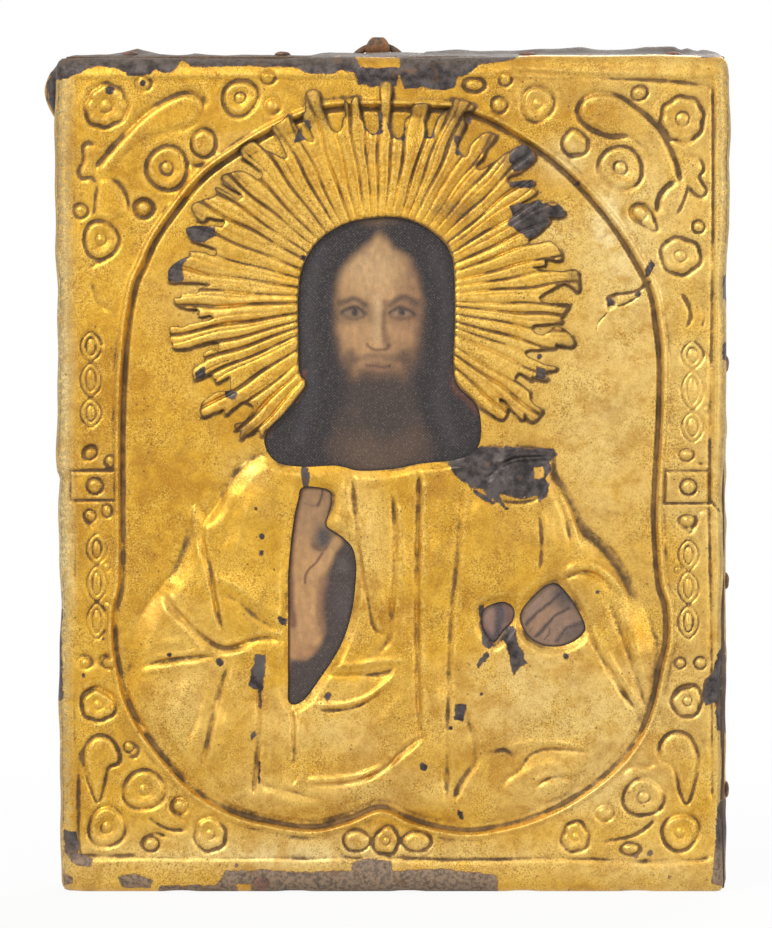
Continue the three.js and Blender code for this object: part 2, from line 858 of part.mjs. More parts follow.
// A ray is a ridge that runs out from the root and rises to a line along its middle.
function rayRidge({ tip, width }) {
  const root = haloRootPx * acrossPx;
  const [a, b, c, d] = rayOutline(tip, width, root, 0);
  const startTop = a.clone().add(d).multiplyScalar(1 / 2);
  const endTop = b.clone().add(c).multiplyScalar(1 / 2);
  const positions = [a, b, c, d]
    .flatMap((p) => [p.x, p.y, haloSeat])
    .concat([a, b, c, d].flatMap((p) => [p.x, p.y, haloTop]))
    .concat([startTop, endTop].flatMap((p) => [p.x, p.y, haloTop + rayRise]));
  const faces = [
    [0, 3, 2, 1], [0, 1, 5, 4], [2, 3, 7, 6], [4, 5, 9, 8], [6, 7, 8, 9], [1, 2, 6, 9, 5],
    [3, 0, 4, 8, 7],
  ].flatMap((loop) => loop.slice(2).flatMap((last, i) => [loop[0], loop[i + 1], last]));
  const geometry = new THREE.BufferGeometry();
  geometry.setAttribute("position", new THREE.Float32BufferAttribute(positions, 3));
  geometry.setIndex(faces);
  return solid(geometry);
}

function haloPlate() {
  const { long, short } = allRays();
  const fan = slab(haloFan(), haloSeat, haloTop);
  const head = grown(curved(headPx, headPoints), seatGap);
  const whole = joined([fan, ...long.map(rayRidge), ...short.map(rayRidge)]);
  return whole.subtract(slab(head, haloSeat - overrun, haloTop + rayRise + overrun));
}

// Hanger

const hangerPx = 377.7;
const hangerX = spot([hangerPx, frameTopPx]).x;
const strapFront = boardBack - seatGap;
const strapBack = strapFront - 2 * strapSheet;
const pivotZ = strapBack - seatGap - ringWire / 2;
const sleeveRadius = strapBore + strapSheet;
const pivotY = coverHeight + strapAbove - sleeveRadius;
const tailFoot = coverHeight - strapTailDrop;

function hangerNails() {
  return [-1, 1].map((side, i) => ({
    name: `hanger_nail_${i + 1}`,
    at: new THREE.Vector3(
      hangerX + (side * hangerNailSpacing) / 2,
      coverHeight - hangerNailDrop,
      strapBack - seatGap,
    ),
    facing: new THREE.Vector3(0, 0, -1),
  }));
}

function hangerStrap(spaces) {
  const boreLength = strapShoulderWidth + overrun;
  const sleeve = new THREE.CylinderGeometry(sleeveRadius, sleeveRadius, strapShoulderWidth, boreSides);
  const bore = new THREE.CylinderGeometry(strapBore, strapBore, boreLength, boreSides);
  const across = (geometry) => solid(geometry.rotateZ(Math.PI / 2).translate(hangerX, pivotY, pivotZ));
  const neck = box(
    [hangerX - strapShoulderWidth / 2, tailFoot, strapBack],
    [hangerX + strapShoulderWidth / 2, pivotY, strapFront],
  );
  const halfHead = strapHeadWidth / 2;
  const shoulder = coverHeight + strapSheet;
  const domeFoot = pivotY - sleeveRadius / 2;
  const domeHeight = pivotY + sleeveRadius - domeFoot;
  const dome = Array.from({ length: domeSteps + 1 }, (_, i) => {
    const angle = (Math.PI * i) / domeSteps;
    return new THREE.Vector2(
      hangerX + halfHead * Math.cos(angle),
      domeFoot + domeHeight * Math.sin(angle),
    );
  });
  const front = anticlockwise([
    new THREE.Vector2(hangerX - strapTailWidth / 2, tailFoot),
    new THREE.Vector2(hangerX + strapTailWidth / 2, tailFoot),
    new THREE.Vector2(hangerX + strapShoulderWidth / 2, coverHeight - strapSheet),
    new THREE.Vector2(hangerX + halfHead, shoulder),
    ...dome,
    new THREE.Vector2(hangerX - halfHead, shoulder),
    new THREE.Vector2(hangerX - strapShoulderWidth / 2, coverHeight - strapSheet),
  ]);
  const plan = slab(front, pivotZ - sleeveRadius - overrun, strapFront + overrun);
  return cut(neck.add(across(sleeve)).intersect(plan), [across(bore), ...spaces]);
}

// The ring hangs from the sleeve, its wire lying in the bore with equal room above and below.
function hangerRing() {
  const sag = ringRadius - Math.sqrt(ringRadius ** 2 - (strapHeadWidth / 2) ** 2);
  const section = Array.from({ length: wireSides }, (_, i) => {
    const angle = (Math.PI * 2 * i) / wireSides;
    return new THREE.Vector2(
      ringRadius + (ringWire / 2) * Math.cos(angle),
      (ringWire / 2) * Math.sin(angle),
    );
  });
  const ring = new THREE.LatheGeometry([...section, section[0]], ringSegments);
  return ring.rotateX(Math.PI / 2).translate(hangerX, pivotY + sag / 2 - ringRadius, pivotZ);
}

// Materials

const wood = new THREE.MeshStandardMaterial({ color: 0x6b4a2f, roughness: 0.8 });
const battenWood = new THREE.MeshStandardMaterial({ color: 0x7a5636, roughness: 0.8 });
const paint = new THREE.MeshStandardMaterial({ color: 0x3f342f, roughness: 0.6 });
const gilt = new THREE.MeshStandardMaterial({ color: 0xd2a03c, roughness: 0.4, metalness: 0.8 });
const rust = new THREE.MeshStandardMaterial({ color: 0x7d5a4c, roughness: 0.85, metalness: 0.3 });
const iron = new THREE.MeshStandardMaterial({ color: 0x6d665c, roughness: 0.7, metalness: 0.6 });

// Assembly

const icon = new THREE.Group();
const lying = new THREE.Group();
lying.rotation.x = Math.PI / 2;
lying.position.y = (boardFront + boardBack) / 2;
icon.add(lying);

function piece(name, geometry, material) {
  const mesh = new THREE.Mesh(geometry, material);
  mesh.name = name;
  lying.add(mesh);
}

const strapNails = hangerNails();
const strapNailSpaces = strapNails.map((nail) =>
  solid(atPlace(nailGeometry(hangerNailHead, nailFit), nail)),
);

piece("panel_board", geometryOf(panelBoard(strapNailSpaces)), wood);
piece("back_batten_upper", geometryOf(batten(battenMiddles.upper, 1, 0)), battenWood);
piece("back_batten_lower", geometryOf(batten(battenMiddles.lower, -1, 0)), battenWood);
piece("painted_ground", geometryOf(paintedGround()), paint);
piece("cover_sheet", geometryOf(coverSheet()), gilt);
piece("halo_plate", geometryOf(haloPlate()), gilt);
for (const nail of nails) {
  piece(nail.name, atPlace(nailGeometry(nailHeadRadius, 0), nail), rust);
}
piece("hanger_strap", geometryOf(hangerStrap(strapNailSpaces)), iron);
piece("hanger_ring", hangerRing(), iron);
for (const nail of strapNails) {
  piece(nail.name, atPlace(nailGeometry(hangerNailHead, 0), nail), rust);
}

export default icon;
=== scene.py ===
"""An orthodox icon: a painted panel under a stamped gilt cover with a rayed halo plate and a hanging ring.

Each piece is made by an operator of its own. Sizes are in millimetres on the face of the cover, where x
runs to the right, y up the panel and z out of the painted surface, and become metres when a mesh is made.
"""

import math

import bmesh
import bpy
import numpy as np
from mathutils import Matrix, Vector, noise
from mathutils.geometry import delaunay_2d_cdt


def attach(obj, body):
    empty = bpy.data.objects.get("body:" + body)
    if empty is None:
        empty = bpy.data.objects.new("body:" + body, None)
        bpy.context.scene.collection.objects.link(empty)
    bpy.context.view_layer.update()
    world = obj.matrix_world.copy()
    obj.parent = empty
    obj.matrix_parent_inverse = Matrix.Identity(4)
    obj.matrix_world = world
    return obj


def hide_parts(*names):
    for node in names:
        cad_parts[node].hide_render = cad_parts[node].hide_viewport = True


bl_info = {
    "name": "Orthodox icon with a stamped cover",
    "version": (1, 0, 0),
    "blender": (4, 5, 0),
    "location": "3D View > Sidebar > Icon",
    "description": "Builds a painted panel icon with a gilt sheet cover, a halo plate and a hanging ring",
    "category": "Add Mesh",
}

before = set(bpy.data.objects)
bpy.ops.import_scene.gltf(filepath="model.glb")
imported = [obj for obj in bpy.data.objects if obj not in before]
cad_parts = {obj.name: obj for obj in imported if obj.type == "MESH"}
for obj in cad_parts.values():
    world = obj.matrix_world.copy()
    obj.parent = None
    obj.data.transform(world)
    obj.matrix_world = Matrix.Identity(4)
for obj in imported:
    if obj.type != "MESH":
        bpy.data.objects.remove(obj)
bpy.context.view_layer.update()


# Places on a straight front view, in pixels. The cover fills this frame of it.

frame_left_px = 62
frame_right_px = 728
frame_top_px = 52
frame_foot_px = 893
cover_width = 175.8
cover_height = 221.8
across_px = cover_width / (frame_right_px - frame_left_px)
up_px = cover_height / (frame_foot_px - frame_top_px)
middle_px = (frame_left_px + frame_right_px) / 2
painted_plane = 11.2

arch_px = [
    (378, 107), (449, 109), (472, 114), (500, 126), (550, 158), (583, 189), (619, 233), (649, 286),
    (657, 323), (661, 363), (660, 420), (657, 470), (655, 520), (659, 581), (666, 606), (667, 639),
    (661, 667), (654, 700), (644, 728), (626, 756), (600, 781), (566, 804), (533, 819), (500, 828),
    (470, 832), (440, 829), (411, 821), (381, 809), (348, 821), (311, 829), (262, 822), (229, 812),
    (196, 793), (171, 769), (143, 733), (126, 700), (118, 667), (114, 640), (115, 610), (121, 581),
    (121, 500), (121, 420), (125, 345), (133, 291), (143, 266), (159, 233), (200, 180), (240, 150),
    (270, 132), (300, 118), (331, 108),
]
head_px = [
    (389, 217), (350, 222), (320, 239), (303, 265), (298, 295), (298, 335), (299, 372), (305, 385),
    (285, 412), (266, 433), (266, 449), (278, 463), (303, 467), (336, 466), (360, 471), (394, 469),
    (419, 464), (449, 461), (469, 455), (479, 445), (481, 425), (476, 404), (455, 378), (455, 320),
    (454, 270), (449, 250), (437, 236), (415, 222),
]
raised_hand_px = [
    (303, 487), (329, 490), (332, 502), (329, 515), (327, 526), (341, 536), (352, 547), (356, 562),
    (356, 578), (353, 606), (347, 630), (338, 651), (322, 676), (303, 701), (289, 703), (288, 680),
    (288, 650), (288, 606), (288, 576), (290, 550), (294, 518), (298, 500),
]
finger_tip_px = [
    (482, 611), (492, 604), (505, 602), (514, 609), (513, 621), (504, 631), (494, 643), (486, 636),
    (481, 624),
]
fingers_px = [
    (555, 583), (566, 592), (577, 608), (585, 625), (583, 634), (571, 643), (556, 647), (541, 645),
    (528, 637), (520, 622), (521, 611), (530, 599), (542, 588),
]
openings_px = [head_px, raised_hand_px, finger_tip_px, fingers_px]
robe_px = [
    (262, 453), (240, 467), (224, 488), (212, 508), (204, 514), (196, 508), (191, 515), (188, 532),
    (182, 556), (174, 574), (160, 590), (148, 606), (138, 630), (130, 655), (129, 690), (138, 715),
    (158, 743), (182, 772), (204, 789), (233, 804), (266, 814), (311, 820), (346, 812), (381, 799),
    (413, 812), (441, 820), (470, 823), (498, 819), (530, 810), (563, 795), (596, 773), (620, 750),
    (637, 723), (647, 697), (654, 665), (655, 645), (645, 615), (630, 584), (616, 558), (600, 542),
    (586, 528), (577, 508), (564, 489), (554, 473), (552, 455), (530, 448), (500, 447), (478, 449),
    (440, 440), (378, 436), (310, 440),
]
rim_inner_px = [(76, 80), (712, 80), (712, 858), (76, 858)]
border_seam_px = 471

# Where the front's edge is: left and right at each height, top at each place across
left_edge_px = [
    (52, 58), (66, 55), (120, 54), (250, 54), (290, 57), (360, 57), (400, 56), (455, 55), (471, 56),
    (478, 59), (500, 58), (560, 58), (600, 60), (700, 58), (800, 59), (850, 60), (880, 61), (893, 62),
]
right_edge_px = [
    (52, 727), (75, 730), (135, 731), (160, 730), (225, 731), (260, 727), (300, 725), (340, 727),
    (430, 727), (500, 722), (560, 725), (640, 722), (700, 721), (760, 723), (820, 722), (850, 723),
    (893, 724),
]
top_edge_px = [
    (50, 57), (120, 56), (190, 56.5), (280, 57), (300, 56), (345, 55), (420, 56), (515, 55), (540, 54),
    (600, 54.5), (660, 53.5), (700, 55), (735, 55),
]

# How high the folded sheet stands behind the top's edge
top_fold_px = [
    (60, 58), (75, 57), (90, 58), (110, 54), (120, 52.5), (134, 48.5), (145, 51.5), (160, 56), (182, 57.5),
    (192, 54), (220, 56.5), (250, 55.5), (280, 56), (300, 56.5), (320, 53), (340, 51.5), (420, 51),
    (455, 50), (515, 50), (540, 48.5), (555, 48), (585, 47.5), (600, 49.5), (610, 50), (640, 48.5),
    (657, 45.5), (667, 42.5), (675, 45), (684, 50), (692, 48), (700, 51), (704, 49), (724, 49), (728, 56),
    (740, 57),
]

# Folds of the robe. Each is a line, how deep it is pressed (below zero: how high it stands), and its width.
robe_folds_px = [
    ([(262, 453), (248, 458), (232, 473), (222, 488), (218, 500), (208, 518), (202, 525)], 0.55, 1.5),
    ([(198, 497), (195, 507), (194, 522), (197, 540), (200, 556), (205, 575), (210, 595), (213, 615),
      (218, 635)], -0.6, 0.8),
    ([(203, 520), (204, 545), (210, 565), (214, 590), (218, 612), (224, 635)], 0.6, 0.7),
    ([(238, 495), (230, 520), (222, 550)], 0.35, 1.5), ([(250, 500), (243, 525), (236, 556)], -0.3, 1.4),
    ([(214, 577), (235, 585), (255, 600), (268, 608), (285, 620)], -0.5, 1.1),
    ([(222, 592), (240, 603), (256, 617), (272, 626), (284, 631)], 0.4, 1.2),
    ([(165, 597), (178, 613), (192, 627), (212, 643), (226, 648), (238, 646), (250, 641), (265, 638),
      (285, 641)], 0.75, 0.9),
    ([(160, 600), (172, 618), (188, 634), (206, 651), (224, 656), (242, 653), (256, 648)], -0.45, 0.9),
    ([(166, 588), (172, 582), (176, 577)], -0.4, 1.4),
    ([(140, 667), (158, 662), (185, 658), (206, 656), (228, 655)], 0.65, 0.8),
    ([(140, 673), (160, 669), (185, 665), (210, 663)], -0.3, 1.0),
    ([(150, 648), (170, 642), (192, 646)], -0.3, 1.4),
    ([(229, 664), (222, 683), (216, 705), (211, 725), (207, 745), (203, 760), (199, 778)], 0.7, 1.0),
    ([(238, 668), (231, 700), (224, 730), (214, 765)], -0.35, 1.5),
    ([(205, 685), (199, 710), (194, 725), (186, 742)], 0.45, 1.2),
    ([(190, 680), (180, 712), (170, 740)], -0.35, 2.2),
    ([(146, 680), (152, 705), (166, 735), (186, 766)], 0.3, 1.4),
    ([(259, 688), (259, 712), (258, 740), (256, 770), (252, 800)], 0.65, 0.8),
    ([(251, 700), (249, 740), (244, 790)], -0.3, 1.2),
    ([(268, 660), (269, 700), (270, 740), (270, 778)], -0.4, 1.5),
    ([(280, 664), (280, 700), (279, 735)], 0.25, 0.8),
    ([(291, 703), (293, 725), (294, 750), (294, 766)], 0.75, 0.6),
    ([(300, 712), (301, 740), (302, 770), (296, 785), (288, 783), (286, 770)], -0.4, 0.9),
    ([(308, 710), (309, 722), (307, 733)], 0.3, 0.6),
    ([(352, 474), (354, 496), (356, 520), (358, 550), (362, 575), (368, 600), (374, 628), (385, 635)], 0.6,
      0.8),
    ([(344, 476), (346, 500), (348, 524)], -0.3, 1.0),
    ([(372, 520), (374, 560), (380, 600), (384, 620)], -0.45, 1.6),
    ([(392, 490), (395, 530), (394, 560), (393, 590), (391, 620), (388, 640), (378, 653)], 0.6, 0.9),
    ([(402, 500), (403, 560), (402, 620), (398, 650)], -0.35, 1.2),
    ([(419, 472), (418, 510), (417, 560), (417, 600), (417, 650), (418, 700), (420, 738)], 0.75, 0.8),
    ([(426, 480), (425, 550), (425, 640), (426, 730)], -0.4, 1.0),
    ([(463, 485), (460, 510), (458, 540), (455, 580), (452, 600), (450, 640), (448, 700), (447, 760),
      (447, 802)], 0.55, 1.0),
    ([(440, 490), (437, 560), (434, 650), (434, 760)], -0.35, 2.2),
    ([(480, 500), (476, 540), (472, 590)], -0.4, 2.4),
    ([(326, 668), (345, 666), (362, 664), (380, 661), (402, 660)], -0.6, 0.9),
    ([(325, 675), (345, 675), (365, 675), (385, 673), (394, 666)], 0.55, 0.7),
    ([(315, 704), (330, 705), (345, 704), (358, 701), (370, 696), (382, 687), (392, 678), (397, 668)],
      -0.65, 0.8),
    ([(316, 710), (335, 710), (350, 708), (362, 704), (374, 697), (384, 688)], 0.5, 0.7),
    ([(376, 738), (384, 722), (394, 706), (403, 692)], -0.35, 1.4),
    ([(340, 722), (358, 730), (362, 742), (352, 752)], -0.2, 1.6),
    ([(305, 780), (325, 780), (345, 778), (360, 775), (374, 771), (386, 765)], -0.6, 0.9),
    ([(312, 785), (335, 784), (352, 782), (366, 778), (380, 771), (392, 762), (400, 753), (410, 745),
      (420, 738)], 0.7, 0.8),
    ([(392, 768), (402, 760), (412, 752), (422, 742)], -0.5, 0.8),
    ([(400, 776), (408, 772), (414, 764)], -0.4, 1.6),
    ([(258, 782), (275, 788), (290, 791), (306, 795), (320, 800)], 0.4, 0.8),
    ([(262, 790), (285, 799), (310, 808)], -0.4, 1.3),
    ([(548, 476), (560, 482), (568, 492), (574, 507), (579, 522), (586, 534), (600, 542), (612, 555),
      (622, 572), (630, 590), (640, 612)], 0.7, 1.4),
    ([(556, 487), (563, 500), (570, 515), (576, 532), (579, 548)], -0.6, 1.0),
    ([(556, 500), (563, 513), (568, 530), (572, 548)], 0.5, 0.9),
    ([(538, 508), (541, 528), (541, 552), (540, 576)], 0.45, 0.9),
    ([(547, 512), (551, 535), (552, 560)], -0.35, 1.2),
    ([(562, 573), (572, 568), (583, 564), (594, 566), (606, 573), (618, 586), (626, 598)], -0.75, 1.2),
    ([(560, 581), (572, 575), (583, 572), (594, 575), (604, 582), (614, 594)], 0.7, 0.8),
    ([(586, 628), (592, 640), (600, 655), (610, 672), (620, 688), (630, 702), (637, 714)], 0.75, 0.9),
    ([(596, 632), (606, 652), (616, 670), (628, 690)], -0.4, 1.2),
    ([(607, 600), (613, 612), (620, 632), (628, 654), (634, 672), (641, 692), (645, 706)], 0.6, 1.1),
    ([(620, 606), (630, 632), (640, 662), (646, 684)], -0.4, 1.6), ([(597, 642), (606, 660)], -0.3, 1.2),
    ([(466, 712), (470, 728), (474, 745), (474, 762), (466, 775), (458, 788), (452, 805)], 0.6, 1.2),
    ([(478, 730), (484, 742), (492, 746)], -0.3, 1.4),
    ([(484, 755), (495, 751), (506, 750), (514, 757)], 0.45, 0.9),
    ([(505, 748), (520, 744), (540, 742), (562, 743), (585, 745)], -0.35, 0.9),
    ([(519, 772), (524, 762), (531, 754), (542, 750), (555, 749), (570, 750), (584, 752), (592, 757)], 0.45,
      0.8),
    ([(500, 792), (504, 782), (512, 775), (522, 769)], 0.4, 0.8),
    ([(505, 796), (510, 786), (520, 778), (532, 770), (548, 765), (566, 766)], -0.4, 1.6),
    ([(530, 802), (533, 792), (540, 783), (550, 778), (562, 777), (574, 780)], 0.45, 0.8),
    ([(540, 800), (548, 790), (560, 786), (574, 788)], -0.35, 1.4),
    ([(474, 790), (471, 800), (477, 808)], 0.25, 0.8), ([(512, 676), (513, 690), (516, 700)], 0.2, 0.8),
    ([(525, 715), (545, 716), (560, 713), (575, 716)], -0.15, 1.4),
    ([(585, 700), (590, 720), (600, 732), (612, 738)], 0.15, 1.4),
    ([(605, 705), (614, 722), (618, 738)], 0.15, 0.9),
]

# Broad swellings of the robe: middle, half length across and up, lean in degrees, and height
robe_swells_px = [
    ((250, 540), 22, 55, 12, 0.35), ((180, 720), 28, 45, -8, 0.4), ((330, 740), 42, 28, 0, 0.3),
    ((228, 740), 14, 45, 8, 0.35), ((400, 560), 9, 90, 0, 0.15), ((505, 560), 28, 60, 10, 0.3),
    ((590, 600), 26, 22, 35, 0.3), ((545, 690), 52, 38, 0, 0.4), ((610, 640), 12, 60, -25, 0.2),
    ((520, 490), 26, 18, 0, 0.4), ((360, 690), 34, 14, 0, 0.25), ((560, 790), 34, 12, -15, 0.3),
    ((180, 620), 20, 12, 40, 0.35), ((430, 770), 16, 36, 0, 0.3),
]

# Lines stamped into the border and its rim
border_lines_px = [
    ([(95, 169), (106, 155), (118, 142), (139, 120), (160, 104), (181, 94), (195, 93), (203, 99),
      (203, 110)], 0.7, 0.85),
    ([(200, 122), (186, 129), (170, 132)], 0.25, 0.6),
    ([(628, 135), (612, 137), (596, 132), (584, 125), (577, 115), (579, 104), (587, 96), (600, 93),
      (618, 96), (636, 108), (655, 124), (668, 144), (676, 163), (680, 184)], 0.65, 0.8),
    ([(98, 184), (95, 202), (94, 219)], 0.35, 0.5),
    ([(112, 179), (121, 186), (128, 199), (129, 215)], 0.4, 0.55),
    ([(677, 180), (664, 189), (657, 201), (656, 216)], 0.55, 0.8),
    ([(688, 181), (684, 200), (676, 216)], 0.3, 0.5),
    ([(512, 63), (560, 66), (620, 68), (690, 71)], 0.2, 0.8),
    ([(512, 72), (580, 76), (650, 80), (700, 85), (709, 87), (713, 100), (713, 200), (711, 350), (709, 480),
      (711, 640), (712, 800)], 0.5, 0.6),
    ([(400, 860), (480, 861), (560, 859), (640, 863), (700, 860), (708, 850)], 0.35, 0.6),
    ([(80, 745), (79, 800), (80, 850), (92, 855), (138, 855)], 0.3, 0.6),
    ([(74, 92), (72, 140), (71, 250), (71, 350), (71, 466)], 0.18, 0.6),
    ([(72, 508), (74, 555), (76, 600)], 0.18, 0.6), ([(115, 405), (115, 465)], 0.35, 0.45),
    ([(116, 505), (118, 530), (120, 560), (120, 578), (115, 600), (113, 625), (113, 650)], 0.35, 0.5),
    ([(96, 147), (88, 143), (83, 148), (83, 160), (79, 172), (82, 178), (92, 178), (97, 186)], 0.5, 0.7),
    ([(684, 162), (690, 157), (700, 160), (703, 170), (699, 178), (706, 190), (701, 197), (692, 192),
      (690, 184)], 0.5, 0.7),
    ([(186, 799), (178, 797), (172, 803), (172, 811), (180, 817), (186, 824)], 0.5, 0.7),
    ([(88, 268), (98, 263), (108, 262)], 0.4, 0.7),
    ([(92, 282), (95, 297), (101, 306), (110, 312)], 0.45, 0.7),
    ([(92, 337), (99, 345), (106, 352)], -0.35, 0.6), ([(96, 366), (103, 376), (104, 386)], -0.3, 0.6),
    ([(83, 462), (85, 450), (91, 446), (100, 448)], 0.45, 0.7),
    ([(103, 461), (109, 464), (114, 460)], 0.5, 0.6), ([(691, 334), (700, 345), (710, 361)], 0.35, 0.8),
    ([(694, 463), (708, 465)], 0.45, 0.6), ([(666, 466), (676, 467)], 0.4, 0.5),
    ([(677, 516), (683, 527), (690, 532), (696, 521), (697, 513), (708, 510), (709, 524)], 0.4, 0.6),
    ([(88, 511), (88, 521), (94, 530)], 0.5, 0.7), ([(96, 531), (103, 539), (111, 549)], -0.35, 0.6),
    ([(78, 662), (80, 656), (88, 655), (93, 661), (92, 670)], 0.5, 0.6),
    ([(111, 655), (102, 656), (99, 662), (103, 669)], 0.5, 0.6),
    ([(79, 697), (89, 691), (99, 687), (107, 692), (115, 699)], 0.5, 0.8),
    ([(670, 695), (678, 690), (686, 687), (697, 692)], 0.5, 0.8),
    ([(680, 292), (688, 305), (690, 318), (684, 330)], 0.45, 0.7),
    ([(700, 300), (704, 316), (700, 332)], 0.3, 0.7),
    ([(146, 815), (155, 822), (165, 828), (176, 830), (188, 829)], 0.45, 0.7),
    ([(140, 850), (141, 843), (147, 836), (156, 833), (170, 838)], 0.45, 0.7),
    ([(598, 842), (612, 840), (625, 838), (636, 834), (648, 826), (656, 815)], 0.45, 0.7),
    ([(620, 776), (626, 769), (634, 766), (648, 766), (658, 760)], 0.5, 0.7),
    ([(130, 742), (138, 748), (136, 756), (126, 757)], 0.4, 0.6),
    ([(566, 160), (580, 150), (590, 140)], 0.3, 0.7), ([(186, 160), (196, 166), (208, 160)], 0.35, 0.7),
    ([(338, 852), (352, 858), (370, 856), (386, 860), (402, 856), (420, 857), (434, 850)], 0.25, 0.7),
    ([(250, 838), (290, 846), (325, 846)], -0.15, 1.6), ([(448, 846), (490, 846), (530, 838)], -0.15, 1.6),
    ([(300, 84), (330, 86), (352, 80)], -0.15, 2.0), ([(400, 92), (430, 90), (452, 96)], -0.15, 2.0),
]

# Long leaves with a groove round them: the outline, and how high the inside swells
leaves_px = [
    ([(97, 166), (112, 145), (130, 126), (150, 107), (170, 96), (188, 92), (200, 97), (204, 108),
      (196, 122), (180, 130), (158, 134), (138, 144), (120, 160), (106, 176)], 0.45, 0.0),
    ([(577, 112), (583, 97), (600, 92), (622, 97), (641, 111), (656, 128), (669, 150), (680, 182),
      (670, 182), (652, 158), (630, 138), (604, 132), (588, 126)], 0.45, 0.0),
    ([(97, 184), (108, 178), (118, 183), (126, 198), (128, 214), (112, 222), (95, 216)], 0.4, 0.0),
    ([(684, 180), (670, 184), (660, 196), (656, 214), (664, 222), (676, 212), (684, 198)], 0.4, 0.0),
    ([(84, 752), (90, 741), (98, 736), (109, 738), (117, 748), (119, 762), (108, 768), (104, 784),
      (98, 802), (90, 785), (85, 768)], 0.5, 0.5),
    ([(661, 760), (659, 748), (665, 737), (675, 732), (687, 735), (695, 747), (698, 762), (695, 780),
      (687, 803), (680, 792), (676, 774), (670, 764)], 0.5, 0.5),
    ([(204, 129), (214, 136), (214, 150), (204, 157), (193, 150), (193, 136)], 0.5, 0.5),
    ([(562, 142), (573, 129), (587, 140), (584, 153), (568, 154)], 0.5, 0.5),
    ([(344, 838), (352, 831), (363, 832), (370, 841), (362, 850), (348, 849)], 0.5, 0.5),
    ([(402, 840), (412, 832), (426, 834), (430, 844), (420, 851), (408, 849)], 0.5, 0.5),
    ([(134, 206), (140, 200), (150, 201), (154, 209), (148, 217), (138, 216)], 0.45, 0.5),
    ([(630, 210), (636, 204), (646, 206), (652, 216), (656, 230), (648, 228), (636, 220)], 0.45, 0.5),
]

# Round flowers: middle, radius, and how many petals the groove waves round (0: a plain ring)
flowers_px = [
    ((106, 106), 23, 8), ((167, 168), 23, 0), ((240, 98), 19.5, 0), ((537, 104), 18.5, 0),
    ((620, 168), 23.5, 0), ((682, 119), 24, 8), ((680, 256), 21, 6), ((101, 240), 20, 0),
    ((98, 705), 18, 6), ((144, 790), 22, 0), ((107, 827), 21, 0), ((643, 797), 21.5, 0),
    ((680, 832), 20, 0), ((210, 834), 18, 6), ((575, 837), 16, 6), ((386, 841), 15, 5), ((687, 701), 17, 6),
]

# Beads and links: middle, half width, half height, lean in degrees
beads_px = [
    ((143, 84), 9, 8, 0), ((268, 78), 8, 7, 0), ((272, 106), 9, 9, 0), ((639, 93), 9, 8, 30),
    ((474, 85), 11, 8, 0), ((499, 105), 9, 9, 0), ((505, 80), 7, 7, 0), ((143, 208), 9, 9, 0),
    ((81, 211), 8, 8, 0), ((639, 213), 9, 9, 0), ((698, 227), 7, 7, 0), ((90, 453), 8, 7, 30),
    ((110, 462), 6, 7, 0), ((85, 663), 7, 7, 0), ((110, 663), 8, 7, 0), ((129, 747), 6, 6, 0),
    ((151, 844), 9, 8, 0), ((686, 455), 8, 7, 0), ((687, 521), 9, 7, 0), ((680, 663), 6, 6, 0),
    ((700, 663), 7, 7, 0), ((630, 849), 10, 7, 0), ((604, 813), 10, 9, 0), ((107, 511), 6, 7, 0),
    ((90, 516), 7, 7, 0), ((95, 486), 9, 9, 0), ((688, 487), 9, 9, 0), ((180, 806), 9, 9, 0),
    ((677, 570), 3.5, 4, 0), ((107, 567), 4, 5, 0), ((107, 606), 4, 5, 0), ((706, 410), 3.5, 5, 0),
]
# Chains of the side columns: the middle, the heights where the strands cross, and the eye's half width
chains_px = [
    (91, (331, 362, 398, 428), 6.0), (692, (341, 370, 411, 443), 6.5), (97, (533, 565, 602, 640), 5.6),
    (688, (539, 571, 605, 639), 5.6),
]

plaques_px = [
    [(71, 471), (115, 471), (115, 500), (71, 500)], [(665, 471), (709, 471), (709, 503), (665, 503)],
]

